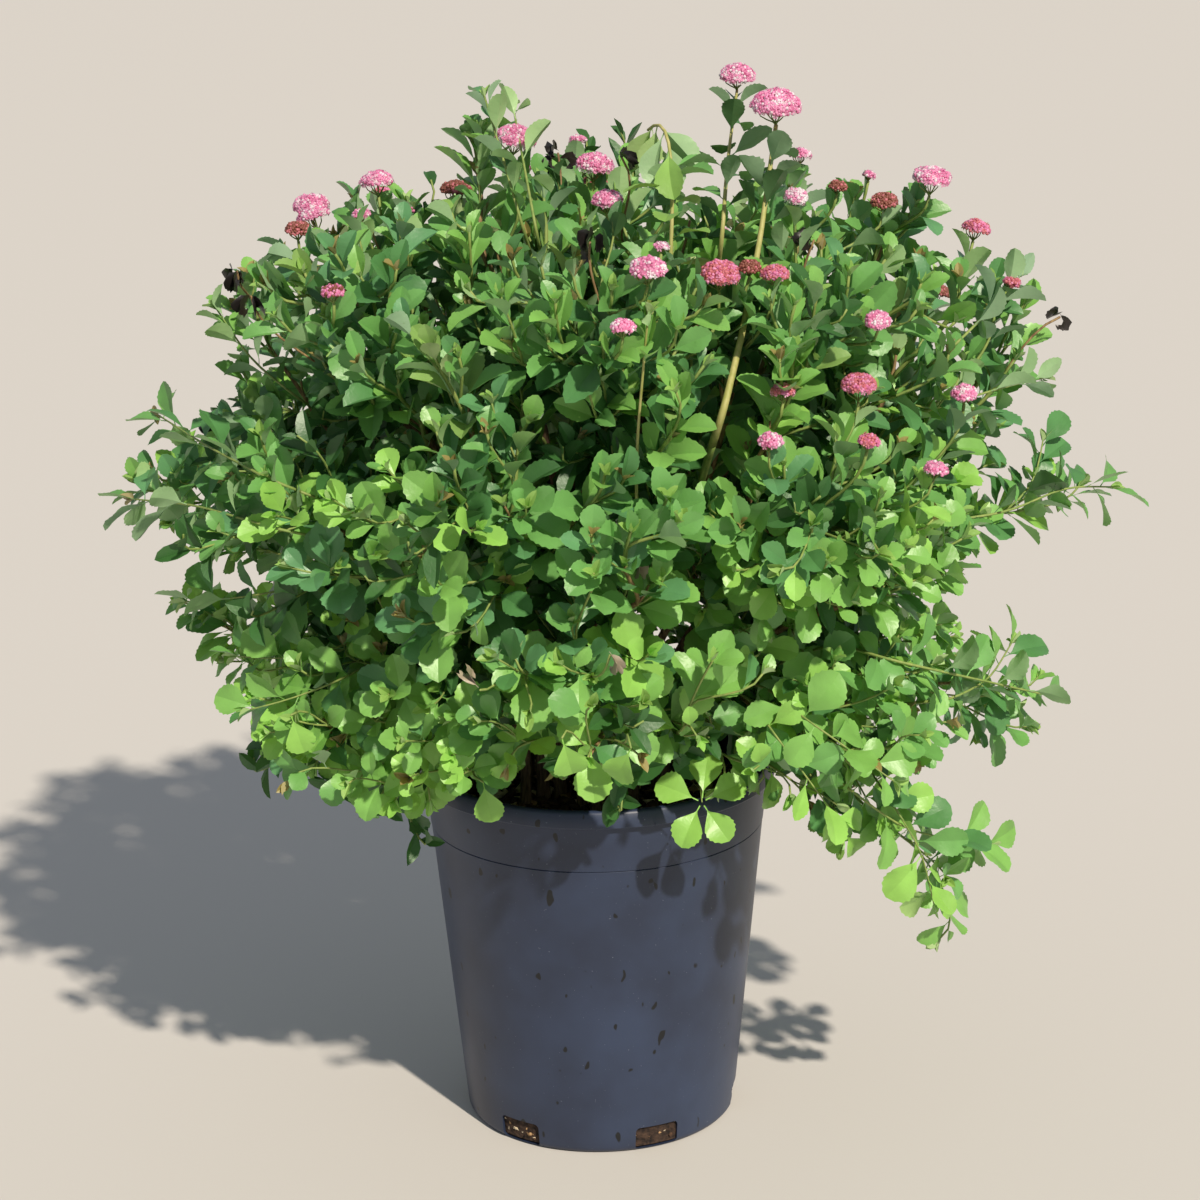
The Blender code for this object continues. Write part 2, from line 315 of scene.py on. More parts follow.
# the main stems follow their CAD nodes
stemNames = sorted(name for name in nodes if name.startswith("stem_"))
for name in stemNames:
    corners = np.unique(np.array([tuple(v.co) for v in nodes[name].data.vertices]).round(6), axis=0)
    corners = corners[np.argsort(corners[:, 2])]
    rings = corners.reshape(-1, 6, 3)
    middles = rings.mean(axis=1)
    radii = np.linalg.norm(rings - middles[:, None], axis=2).mean(axis=1)
    arcs = arcsOf(middles)
    steps = np.linspace(0, arcs[-1], max(8, int(arcs[-1] / growth["boughStep"])))
    mass = massNames.index(name.replace("stem_", "leaves_"))
    addLine(sampled(middles, arcs, steps), -1, 0.0, mass, "stem", 0.0, first=0.55, last=1.0,
            radii=np.interp(steps, arcs, radii), node=name)

# each stem goes on into its mass
for i in range(len(stemNames)):
    stem = lines[i]
    end, heading = stem["points"][-1], unit(stem["points"][-1] - stem["points"][-3])
    middle = masses[stem["mass"]]["middle"]
    goal = end + (middle - end) * growth["boughEnd"] + heading * 0.01
    span = float(np.linalg.norm(goal - end))
    wish = unit(unit(goal - end) + upward * 0.5)
    count = max(5, int(span / growth["boughStep"]) + 2)
    points = curve(end, end + heading * span * 0.35, goal - wish * span * 0.3, goal, count)
    addLine(points, i, stem["arcs"][-1], stem["mass"], "bough", stem["arcs"][-1], first=0.0, last=1.0)


overTheMix = {"radius": 0.13, "height": 0.36}      # no shoot ends in the space over the mix
inThePot = {"radius": 0.150, "height": 0.304}      # a leaf here would go through the pot's wall or lip
underside = {      # in front the crown's underside climbs from the lip, so that the pot stands clear of it
    "bearings": (-106, -40),
    "start": (0.150, 0.315),     # radius and height
    "slope": 0.95,
    "bare": 0.93,
}


def underCrown(spot):
    low, high = underside["bearings"]
    if not low < math.degrees(math.atan2(spot[1], spot[0])) < high:
        return False
    out = math.hypot(spot[0], spot[1]) - underside["start"][0]
    return spot[2] < underside["start"][1] + out * underside["slope"]


def scatter(spacing, inset, taken):
    # spots at the crown's outer surface, no two closer than the spacing
    areas = np.linalg.norm(np.cross(allCorners[allFaces[:, 1]] - allCorners[allFaces[:, 0]],
                                    allCorners[allFaces[:, 2]] - allCorners[allFaces[:, 0]]), axis=1)
    tries = int(areas.sum() / 2 / spacing ** 2 * growth["tries"])
    picks = draw.choice(len(allFaces), tries, p=areas / areas.sum())
    found = []
    for face in picks:
        a, b, c = allCorners[allFaces[face]]
        s, t = draw.random(2)
        s, t = (1 - s, 1 - t) if s + t > 1 else (s, t)
        spot, normal = a + (b - a) * s + (c - a) * t, unit(np.cross(b - a, c - a))
        if crown.ray_cast(Vector(spot + normal * 0.0015), Vector(normal), growth["gap"])[0] is not None:
            continue
        if taken and np.min(np.linalg.norm(np.array(taken) - spot, axis=1)) < spacing:
            continue
        if within(spot, overTheMix):
            continue
        if underCrown(spot) and draw.random() < underside["bare"]:
            continue
        taken.append(spot)
        found.append((spot - normal * between(inset), normal, faceMass[face]))
    return found


surfaceTips = scatter(growth["tipSpacing"], growth["inset"], [])
deepTips = scatter(growth["deepSpacing"], growth["deepInset"], [])
coreTips = scatter(growth["coreSpacing"], growth["coreInset"], [])
thinned = {"leaves_hanging_spray": 0.45, "leaves_right_spray": 0.4, "leaves_left_spray": 0.6}   # open sprays
standOutMasses = ("leaves_tall_flower_shoot", "leaves_second_flower_shoot", "leaves_wilted_shoot")
isSpray = [("spray" in m["name"]) or m["name"].endswith("_shoot") for m in masses]


clefts = {      # a cleft between two masses is grown over from its walls
    "bearings": 72,
    "heights": (0.325, 0.700, 0.028),      # lowest, highest, step
    "reach": 5,             # how many bearings away its walls may stand
    "depth": 0.045,         # how far it must reach in behind them
    "inset": (0.014, 0.055),
    "coreInset": (0.080, 0.120),
}


def outlineAt(bearing, height):
    way = Vector((math.cos(bearing), math.sin(bearing), 0))
    hit = crown.ray_cast(way * 0.6 + Vector((0, 0, height)), -way, 0.6)[0]
    return 0.0 if hit is None else math.hypot(hit.x, hit.y)


def growOverClefts():
    count, reach, grown = clefts["bearings"], clefts["reach"], 0
    low, high, step = clefts["heights"]
    for height in np.arange(low, high, step):
        radii = [outlineAt(math.radians(360 * k / count), height) for k in range(count)]
        for k in range(count):
            walls = [max(radii[(k + sign * (i + 1)) % count] for i in range(reach)) for sign in (-1, 1)]
            if min(walls) - radii[k] < clefts["depth"]:
                continue
            bearing = math.radians(360 * (k + between((-0.3, 0.3))) / count)
            way = np.array((math.cos(bearing), math.sin(bearing), 0))
            for inset, kind in ((clefts["inset"], "shoot"), (clefts["coreInset"], "core")):
                tip = way * (min(walls) - between(inset)) + upward * (height + between((-0.012, 0.012)))
                if underCrown(tip) or within(tip, overTheMix):
                    continue
                owner = faceMass[crown.find_nearest(Vector(tip))[2]]
                growTo(tip, tipWish(way, tip[2]), None, kind, owner=owner)
                grown += 1
    print("shoots in the clefts:", grown)


def growMass(index, tips, kind):
    own = sorted((t for t in tips if t[2] == index), key=lambda t: np.linalg.norm(t[0] - stemEnd[index]))
    kept = thinned.get(masses[index]["name"], 1.0)
    for place, normal, mass in own:
        if draw.random() > kept:
            continue
        growTo(place, tipWish(normal, place[2]), None if isSpray[index] else {index}, kind, owner=mass)


stemEnd = {line["mass"]: line["points"][-1] for line in lines if line["kind"] == "stem"}
for index, mass in enumerate(masses):
    if isSpray[index]:
        places = np.array(spotPlace)
        stemEnd[index] = places[np.argmin(np.linalg.norm(places - mass["middle"], axis=1))]
for index in sorted(range(len(masses)), key=lambda i: isSpray[i]):
    if masses[index]["name"] in standOutMasses:
        continue
    if not isSpray[index]:
        growMass(index, coreTips, "core")
        growMass(index, deepTips, "shoot")
    growMass(index, surfaceTips, "shoot")
growOverClefts()
print("lines grown:", len(lines))


# what stands out: shoots, blossom and dead leaves at their own places in the frame
def shootRow(dress, radius, *line, **ends):
    return {"dress": dress, "radius": radius, "line": line, **ends}


standOutShoots = {   # how it is dressed, its radius, its line from foot to tip in pixels, its ends' depths
    "tallFlower": shootRow("flowering", 0.0029, (722, 416), (742, 335), (760, 240), (776, 125),
                           depth=-0.080, mass="leaves_tall_flower_shoot"),
    "secondFlower": shootRow("leafyFlowering", 0.0019, (722, 240), (727, 165), (737, 90), depth=-0.020,
                             mass="leaves_second_flower_shoot"),
    "wilted": shootRow("wilting", 0.0019, (669, 300), (673, 190), (669, 128), (657, 116), (648, 130),
                       footDepth=-0.135, depth=-0.075, mass="leaves_wilted_shoot"),
    "slender": shootRow("budding", 0.0015, (636, 545), (637, 440), (648, 315)),
    "leftPeak": shootRow("upright", 0.0014, (522, 225), (502, 155), (484, 95)),
    "leftPeakTwin": shootRow("upright", 0.0013, (535, 225), (524, 165), (513, 106)),
    "leftCrest": shootRow("upright", 0.0012, (300, 400), (250, 360), (216, 308), footDepth=-0.060),
    "leftUpper": shootRow("arching", 0.0012, (270, 480), (205, 445), (158, 415)),
    "leftReach": shootRow("arching", 0.0012, (280, 530), (195, 505), (132, 499)),
    "leftLow": shootRow("arching", 0.0010, (295, 588), (240, 598), (184, 602), footDepth=-0.095),
    "leftSkirt": shootRow("arching", 0.0010, (330, 650), (280, 660), (236, 656)),
    "leftSkirtLow": shootRow("arching", 0.0010, (340, 680), (290, 700), (248, 710)),
    "rightCrest": shootRow("upright", 0.0013, (950, 350), (995, 305), (1020, 276)),
    "rightEdge": shootRow("upright", 0.0012, (930, 410), (1000, 388), (1043, 378)),
    "rightReach": shootRow("arching", 0.0012, (955, 520), (1010, 512), (1065, 486), (1112, 487),
                           footDepth=-0.095),
    "rightRise": shootRow("arching", 0.0011, (1005, 512), (1035, 485), (1043, 440)),
    "rightSkirt": shootRow("arching", 0.0013, (890, 660), (980, 680), (1047, 695)),
    "rightSkirtUp": shootRow("arching", 0.0011, (950, 700), (990, 680), (1012, 642)),
    "hanging": shootRow("trailing", 0.0011, (850, 790), (905, 830), (945, 838), (990, 845),
                        footDepth=-0.150),
    "hangingDown": shootRow("trailing", 0.0010, (890, 800), (922, 850), (934, 905), footDepth=-0.135),
    "trailing": shootRow("trailing", 0.0010, (770, 728), (805, 775), (840, 822)),
    "trailingUp": shootRow("trailing", 0.0010, (800, 715), (850, 750), (895, 782)),
    "overTheLip": shootRow("cluster", 0.0010, (690, 735), (700, 775), (702, 802), footDepth=-0.125,
                           depth=-0.168),
}
inwardReach = 0.045      # a stem's foot goes on this far into the crown behind where it shows
ripeDress = ("flowering", "leafyFlowering", "wilting", "budding")     # old, straw-coloured stems


def atDepth(x, y, depth):
    eye, heading = sightLine(x, y)
    return eye + heading * ((depth - eye[1]) / heading[1])


def evenly(path, step):
    path = np.array(path)
    arcs = arcsOf(path)
    steps = np.linspace(0, arcs[-1], max(5, int(arcs[-1] / step) + 1))
    return smoothed(sampled(path, arcs, steps), 3)


for shoot in standOutShoots.values():
    foot = crownAt(*shoot["line"][0])[0]
    tip, normal, tipMass = crownAt(*shoot["line"][-1])
    owner = massNames.index(shoot["mass"]) if "mass" in shoot else tipMass
    behind = -0.004 if shoot["dress"] in ripeDress else 0.022
    footDepth, tipDepth = shoot.get("footDepth", foot[1] + behind), shoot.get("depth", tip[1] - 0.006)
    last = len(shoot["line"]) - 1
    path = [atDepth(x, y, mixed(footDepth, tipDepth, i / last)) for i, (x, y) in enumerate(shoot["line"])]
    path = [path[0] + (path[0] - path[1]) * 0.35 + np.array((0, inwardReach, -0.01))] + path
    points = evenly(path, growth["stepLength"])
    root = growTo(points[0], unit(points[1] - points[0]), None, "bare", owner, growth["rootLength"], last=0.0)
    shoot["index"] = addLine(points, root, lines[root]["arcs"][-1], owner, "standOut", 0.5, first=0.55,
                             last=0.95, dress=shoot["dress"], tipRadius=shoot["radius"])
print("shoots that stand out:", len(standOutShoots))

flowerHeads = {   # middle of the head in the frame, its width in pixels and its tint
    "tallFlower": (776, 106, 48, "pink"), "secondFlower": (737, 76, 34, "pink"),
    "leftPeak": (516, 139, 40, "pink"), "middlePeak": (595, 166, 38, "pink"),
    "underMiddlePeak": (607, 201, 30, "pink"), "leftShoulder": (377, 182, 34, "pink"),
    "farLeft": (311, 206, 38, "pink"), "farLeftBud": (298, 230, 26, "rust"),
    "shoulderBud": (361, 215, 18, "pink"), "leftInner": (333, 293, 22, "dull"),
    "middle": (648, 270, 34, "pink"), "underMiddle": (623, 328, 22, "pink"),
    "besideStem": (720, 275, 38, "coral"), "stemBud": (750, 268, 20, "rust"),
    "behindStem": (775, 275, 26, "coral"), "paleTop": (796, 197, 22, "pale"),
    "rightBud": (838, 187, 18, "rust"), "rightSecondBud": (884, 202, 26, "rust"),
    "rightPeak": (932, 179, 38, "pink"), "rightShoulder": (976, 229, 28, "coral"),
    "rightEdge": (1012, 283, 16, "coral"), "rightInner": (878, 321, 24, "pink"),
    "rightMiddle": (859, 386, 34, "coral"), "centreRight": (783, 392, 22, "coral"),
    "rightLow": (964, 394, 24, "pink"), "centreLow": (770, 442, 22, "pink"),
    "rightUnder": (869, 442, 20, "coral"), "lowest": (936, 470, 22, "pink"),
}
pixelsPerMetre = 1300
heads = []


def addHead(place, axis, width, tint, owner):
    growTo(place - axis * width * 0.45, axis, None, "flower", owner=owner)
    base = lines[-1]["points"][-1]
    heads.append({"place": place, "axis": axis, "width": width, "tint": tint, "base": base})


for name, (x, y, wide, tint) in flowerHeads.items():
    width = wide / pixelsPerMetre
    if name in ("tallFlower", "secondFlower"):
        points = lines[standOutShoots[name]["index"]]["points"]
        place = atDepth(x, y, standOutShoots[name]["depth"])
        axis = unit(upward + np.array((0.06, -0.22, 0.0)))      # the heavy heads nod a little
        heads.append({"place": place, "axis": axis, "width": width, "tint": tint, "base": points[-1]})
        continue
    place, normal, mass = crownAt(x, y, 0.012)
    addHead(place, unit(upward + normal * 0.28 + draw.normal(0, 0.08, 3)), width, tint, mass)

# small buds all round the top, and on the far side blossom as thick as on the near side
scattered = {
    "buds": {"count": 16, "lowest": 0.56, "behind": -1.0, "width": (0.009, 0.014),
             "tints": ("dull", "rust", "pink")},
    "backHeads": {"count": 24, "lowest": 0.56, "behind": 0.10, "width": (0.014, 0.028),
                  "tints": ("pink", "pink", "coral", "rust", "pink")},
}
for group in scattered.values():
    fit = [i for i, t in enumerate(surfaceTips) if t[0][1] > group["behind"] and t[0][2] > group["lowest"]]
    for i in draw.choice(fit, min(len(fit), group["count"]), replace=False):
        place, normal, mass = surfaceTips[i]
        axis = unit(upward + normal * 0.3 + draw.normal(0, 0.08, 3))
        addHead(place + normal * 0.016 + upward * 0.006, axis, between(group["width"]),
                str(draw.choice(group["tints"])), mass)
print("flower heads:", len(heads))

curledLeaves = {   # dried leaves that still hang: the pixel, how many, and black or brown
    "farLeft": (237, 271, 4, "dead"), "farLeftUnder": (251, 296, 2, "dead"),
    "leftOfMiddle": (558, 153, 3, "dead"), "middle": (590, 242, 3, "dead"),
    "topMiddle": (622, 158, 2, "dead"), "left": (205, 425, 1, "dead"), "right": (1060, 317, 2, "dead"),
    "underRightBud": (814, 240, 2, "dead"), "rimLeft": (480, 690, 1, "withered"),
    "front": (635, 556, 1, "withered"), "frontLow": (610, 655, 1, "withered"),
}
for x, y, count, tint in curledLeaves.values():
    place, normal, mass = crownAt(x, y, 0.004)
    wish = unit(normal * 0.6 + upward * 0.5 + draw.normal(0, 0.2, 3))
    growTo(place, wish, None, tint, owner=mass, count=count)

hangingLeaves = {   # single round leaves that hang before the lip: the pixel of each leaf's tip
    "middle": (562, 768), "right": (631, 778), "left": (483, 812), "farLeft": (291, 745),
}
for x, y in hangingLeaves.values():
    place, normal, mass = crownAt(x, y - 30, 0.006)
    growTo(place, unit(normal - upward * 0.6), None, "hangingLeaf", owner=mass)


# leaves: a few shapes, each with its own outline, dealt out along the shoots

leafShapes = {   # width to length, where it is widest, fold to the midrib, cupping, droop in radians
    "round": {"width": 0.80, "widest": 0.60, "fold": (-0.05, 0.28), "cup": (-0.4, 0.3), "droop": (0.1, 0.8)},
    "oval": {"width": 0.63, "widest": 0.60, "fold": (0.05, 0.42), "cup": (-0.2, 0.4), "droop": (0.1, 0.9)},
    "long": {"width": 0.52, "widest": 0.56, "fold": (0.25, 0.75), "cup": (0.0, 0.6), "droop": (0.2, 1.1)},
    "tip": {"width": 0.46, "widest": 0.48, "fold": (0.4, 0.9), "cup": (0.2, 0.8), "droop": (-0.3, 0.5)},
    "spoon": {"width": 0.84, "widest": 0.56, "fold": (0.15, 0.35), "cup": (0.8, 1.4), "droop": (-0.9, -0.3)},
    "dead": {"width": 0.50, "widest": 0.50, "fold": (0.9, 1.6), "cup": (2.5, 4.0), "droop": (2.4, 4.2)},
}
shapeCount = 4
stalkLength = 0.15       # to the blade's length
fullRib = (0, 0.2, 0.42, 0.64, 0.84, 1)
fullEdge = (0, 0.1, 0.24, 0.38, 0.48, 0.53, 0.60, 0.64, 0.71, 0.75, 0.82, 0.86, 0.93, 1)
toothed = (1, 1, 1, 1, 1.02, 0.96, 1.03, 0.95, 1.04, 0.94, 1.05, 0.92, 1.05, 1)
tipRib, tipEdge = (0, 0.35, 0.7, 1), (0, 0.15, 0.4, 0.65, 0.85, 1)
wedge = (1.05, 0.60)       # a blade narrows evenly to its stalk and is rounded at its tip


def strip(a, b, shareA, shareB, turned):
    i = j = 0
    faces = []
    while i < len(a) - 1 or j < len(b) - 1:
        if j == len(b) - 1 or (i < len(a) - 1 and shareA[i + 1] <= shareB[j + 1] + 1e-9):
            face = (a[i], a[i + 1], b[j])
            i += 1
        else:
            face = (a[i], b[j + 1], b[j])
            j += 1
        if len(set(face)) == 3:
            faces.append(face[::-1] if turned else face)
    return faces


def leafTemplate(kind):
    form = leafShapes[kind]
    small = kind == "tip"
    rib, edge = (tipRib, tipEdge) if small else (fullRib, fullEdge)
    teeth = (1,) * len(edge) if small else toothed
    fold, cup, droop = between(form["fold"]), between(form["cup"]), between(form["droop"])
    wave, phase, side = between((0.03, 0.12)), between((0, 6.3)), between((-0.25, 0.25))
    power = math.log(0.5) / math.log(form["widest"])
    crumple = 0.10 if kind == "dead" else 0.0
    points = []

    def halfWidth(share):
        bluntness = mixed(*wedge, share)
        return form["width"] / 2 * max(0.0, math.sin(math.pi * share ** power)) ** bluntness

    def put(share, across):
        bend = droop * share
        y = math.sin(bend) / droop
        z = -(1 - math.cos(bend)) / droop
        lift = fold * abs(across) + cup * across * across + wave * across * math.sin(9 * share + phase)
        lift += crumple * math.sin(23 * share + 31 * across + phase)
        points.append((across + side * share * share * 0.3,
                       y + lift * math.sin(bend), z + lift * math.cos(bend)))
        return len(points) - 1

    ribIds = [put(s, 0.0) for s in rib]
    faces = []
    for sign in (-1, 1):
        edgeIds = [put(s, sign * halfWidth(s) * k) for s, k in zip(edge[1:-1], teeth[1:-1])]
        edgeIds = [ribIds[0]] + edgeIds + [ribIds[-1]]
        if small:
            faces += strip(edgeIds, ribIds, edge, rib, sign < 0)
            continue
        innerIds = [put(s, sign * halfWidth(s) * 0.5) for s in rib[1:-1]]
        innerIds = [ribIds[0]] + innerIds + [ribIds[-1]]
        faces += strip(edgeIds, innerIds, edge, rib, sign < 0)
        faces += strip(innerIds, ribIds, rib, rib, sign < 0)
    if not small:   # the stalk, a narrow gutter
        first = len(points)
        points += [(-0.017, -stalkLength, 0), (0, -stalkLength, -0.02), (0.017, -stalkLength, 0)]
        points += [(-0.014, 0.03, 0.004), (0, 0.03, -0.014), (0.014, 0.03, 0.004)]
        faces += [(first, first + 1, first + 4), (first, first + 4, first + 3)]
        faces += [(first + 1, first + 2, first + 5), (first + 1, first + 5, first + 4)]
    points = np.array(points)
    if not small:
        points[:, 1] += stalkLength
    return points, np.array(faces)


templates = {kind: [leafTemplate(kind) for _ in range(shapeCount)] for kind in leafShapes}
ribCounts = {kind: len(tipRib if kind == "tip" else fullRib) for kind in leafShapes}
leaves = {}      # tint -> kind -> list of (place, forward, facing, size, mass)
headPlaces = np.array([head["place"] for head in heads])
headWidths = np.array([head["width"] for head in heads])

# how a shoot is dressed: three levels of the crown, its core, and the shoots that stand out
def dressRow(leaf, kinds, gap, leafy, openness, turn, rise, radius, young=0.52, limp=0, limpRise=0.0):
    return {"leaf": leaf, "kinds": kinds, "gap": gap, "leafy": leafy, "open": openness, "turn": turn,
            "rise": rise, "radius": radius, "young": young, "limp": limp, "limpRise": limpRise}


# leaf length, leaf shapes, gap between leaves, leafy length, angle off the shoot for old and young leaves,
# turn to the light, rise, radius; young is the size of the first leaves, and limp is how many hang down
habits = {
    "skirt": dressRow((0.021, 0.035), ("round", "round", "oval"), (0.0080, 0.0105), (0.07, 0.12), (76, 34),
                      0.74, 0.10, 0.0008),
    "middle": dressRow((0.026, 0.041), ("oval", "oval", "round"), (0.0095, 0.0125), (0.08, 0.13), (68, 28),
                       0.60, 0.15, 0.0009),
    "top": dressRow((0.029, 0.044), ("long", "oval", "long"), (0.0115, 0.0155), (0.10, 0.16), (50, 18),
                    0.32, 0.12, 0.0012),
    "core": dressRow((0.026, 0.038), ("tip", "tip", "tip"), (0.0100, 0.0130), (0.08, 0.12), (74, 30), 0.5,
                     0.1, 0.0009),
    "flowering": dressRow((0.025, 0.034), ("long", "oval", "spoon"), (0.0050, 0.0090), (0.080, 0.080),
                          (62, 44), 0.22, 0.10, 0.0029, young=0.75),
    "leafyFlowering": dressRow((0.023, 0.034), ("long", "oval", "long"), (0.0075, 0.0110), (0.120, 0.120),
                               (60, 44), 0.22, 0.08, 0.0019, young=0.7),
    "wilting": dressRow((0.026, 0.038), ("long", "oval", "long"), (0.0060, 0.0110), (0.150, 0.150),
                        (75, 60), 0.20, 0.1, 0.0019, young=0.85, limp=8, limpRise=-2.1),
    "budding": dressRow((0.018, 0.026), ("oval", "long", "spoon"), (0.0090, 0.0120), (0.045, 0.045),
                        (45, 20), 0.40, 0.10, 0.0015),
    "upright": dressRow((0.024, 0.034), ("long", "oval", "long"), (0.0085, 0.0120), (0.095, 0.095),
                        (52, 22), 0.32, 0.12, 0.0013, young=0.75),
    "arching": dressRow((0.026, 0.038), ("oval", "round", "oval"), (0.0095, 0.0130), (0.17, 0.17),
                        (66, 30), 0.62, 0.06, 0.0012, young=0.8),
    "trailing": dressRow((0.028, 0.038), ("round", "oval", "round"), (0.0105, 0.0140), (0.15, 0.15),
                         (72, 40), 0.78, 0.02, 0.0010, young=0.7),
}
greens = {"fresh": 0.30, "leafGreen": 0.46, "bluish": 0.12, "deep": 0.12}
tintShares = {
    "skirt": {"lime": 0.38, "fresh": 0.38, "leafGreen": 0.18, "bluish": 0.06},
    "middle": {"lime": 0.12, "fresh": 0.32, "leafGreen": 0.36, "bluish": 0.10, "deep": 0.10},
    "top": {"fresh": 0.28, "leafGreen": 0.41, "deep": 0.14, "bluish": 0.12, "olive": 0.05},
    # the core leaves all take the inner tint, a dark green that is painted shade deep in the crown
    "core": {"inner": 1.0},
    "flowering": {"leafGreen": 0.5, "deep": 0.5}, "leafyFlowering": {"leafGreen": 0.5, "deep": 0.5},
    "upright": greens, "arching": greens,
    "wilting": {"wiltGreen": 0.40, "leafGreen": 0.46, "paleWilt": 0.14},
    "trailing": {"lime": 0.45, "fresh": 0.35, "leafGreen": 0.20},
    "budding": {"fresh": 0.5, "olive": 0.5},
}
# each tint's darker neighbour for the older leaves further in: partly their own colour, partly painted shade
# inside the crown
darkerForAgeAndShade = {"lime": "leafGreen", "fresh": "deep", "leafGreen": "deep", "bluish": "deep", "olive": "deep",
          "deep": "inner"}
patchLean = {"lime": 1.6, "fresh": 1.6, "deep": -1.2, "bluish": -1.2}      # how patches of the crown lean
levels = {"skirt": 0.455, "middle": 0.585}     # up to which height each of the two lower habits goes
lightward = unit(np.array((0.30, -0.50, 1.0)))


def putLeaf(tint, kind, place, forward, facing, size, mass):
    variant = int(draw.integers(shapeCount))
    row = (place, unit(forward), unit(facing), size, mass)
    leaves.setdefault(tint, {}).setdefault((kind, variant), []).append(row)


def crowded(spot):
    nearHead = np.linalg.norm(headPlaces - spot, axis=1) < headWidths * 0.5 + 0.004
    return within(spot, inThePot) or bool(np.any(nearHead))


def alongLine(line, arc):
    points, arcs = line["points"], line["arcs"]
    arc = min(max(arc, 0.0), arcs[-1])
    i = min(int(np.searchsorted(arcs, arc, side="right")) - 1, len(arcs) - 2)
    share = (arc - arcs[i]) / max(arcs[i + 1] - arcs[i], 1e-9)
    return mixed(points[i], points[i + 1], share), unit(points[i + 1] - points[i])


def crossways(heading, turn):
    side = unit(np.cross(heading, upward if abs(heading[2]) < 0.95 else np.array((1.0, 0.0, 0.0))))
    other = np.cross(side, heading)
    return side * math.cos(turn) + other * math.sin(turn)


def pickTint(shares):
    names = list(shares)
    weights = np.array([shares[n] for n in names])
    return names[int(draw.choice(len(names), p=weights / weights.sum()))]


def habitOf(line, tip):
    if "dress" in line or line["kind"] == "core":
        return line.get("dress", "core")
    level = tip[2] + draw.normal(0, 0.035)
    return "skirt" if level < levels["skirt"] else ("middle" if level < levels["middle"] else "top")


def dressShoot(line):
    tip = line["points"][-1]
    habitName = habitOf(line, tip)
    habit, shares = habits[habitName], dict(tintShares[habitName])
    patch = noise.noise(Vector(tip) * 7.0)
    for name in shares:
        shares[name] *= math.exp(patchLean.get(name, 0) * patch)
    tint, second = pickTint(shares), pickTint(shares)
    line.setdefault("tipRadius", habit["radius"])
    total = line["arcs"][-1]
    leafy = min(total * 0.92, between(habit["leafy"]))
    outward = unit(np.array((tip[0], tip[1], tip[2] - 0.42)))
    back = 0.004 if line["kind"] == "flower" else 0.006
    turn, k = between((0, 6.28)), 0
    while back < leafy:
        place, heading = alongLine(line, total - back)
        openness = mixed(habit["open"][1], habit["open"][0], min(1.0, k / 6)) + draw.normal(0, 7)
        openness = math.radians(openness)
        shade = darkerForAgeAndShade.get(tint) if k > 4 and draw.random() < 0.40 else None    # the older leaves, further in, take a darker tint: partly their own colour, partly painted shade inside the crown
        radial = crossways(heading, turn)
        rise = habit["limpRise"] + draw.normal(0, 0.5) if k < habit["limp"] else habit["rise"]
        forward = unit(heading * math.cos(openness) + radial * math.sin(openness) + upward * rise)
        facing = unit(heading - forward * float(heading @ forward))
        toLight = (lightward + outward * 0.45) * habit["turn"]
        facing = facing * (1 - habit["turn"]) + toLight + draw.normal(0, 0.17, 3)
        size = between(habit["leaf"]) * mixed(habit["young"], 1.0, min(1.0, (k + 1) / 5))
        kind = habit["kinds"][int(draw.integers(3))]
        if line["kind"] == "flower":
            size *= 0.85
            kind = "spoon" if k < 2 else kind
        beneath = habitName in levels and underCrown(place + forward * size * 0.6) and draw.random() < 0.75
        if not beneath and not crowded(place + forward * size * 0.6):
            wilting = habitName == "wilting"      # fewer of its leaves keep to the shoot's own tint
            chosen = shade
            if not chosen:
                own = draw.random() < (0.4 if wilting else 0.8)
                chosen = tint if own else pickTint(shares) if wilting else second
            putLeaf(chosen, kind, place, forward, facing, size, line["mass"])
        turn += goldenTurn + draw.normal(0, 0.18)
        back += between(habit["gap"]) * mixed(0.55, 1.0, min(1.0, k / 4))
        k += 1
    if line["kind"] in ("flower", "core") or habitName in ("flowering", "leafyFlowering", "wilting"):
        return
    bronzed = draw.random() < (0.30 if habitName == "top" else 0.10)
    tipTint = "bronze" if bronzed else "lime" if tint == "lime" else "tipGreen"
    place, heading = alongLine(line, total)
    for k in range(int(draw.integers(3, 6))):   # the bud's own small leaves
        openness = math.radians(between((10, 42)))
        forward = heading * math.cos(openness) + crossways(heading, turn + k * 2.1) * math.sin(openness)
        facing = heading - forward * float(heading @ unit(forward)) + lightward * 0.25
        if not crowded(place + forward * 0.008):
            size = between((0.008, 0.016))
            putLeaf(tipTint, "tip", place - heading * 0.002, forward, facing, size, line["mass"])


def dressCluster(line):      # a rosette of round leaves that looks outwards and up
    place = line["points"][-1]
    facing = unit(unit(np.array(shot["place"]) - place) + upward * 0.35)
    for k in range(5):
        forward = crossways(facing, math.radians(k * 72 + 20) + draw.normal(0, 0.15))
        tilted = facing + forward * between((-0.35, 0.25)) + draw.normal(0, 0.1, 3)
        size, foot = between((0.028, 0.033)), place + forward * 0.003
        putLeaf("lime", "round", foot, forward + facing * 0.12, tilted, size, line["mass"])


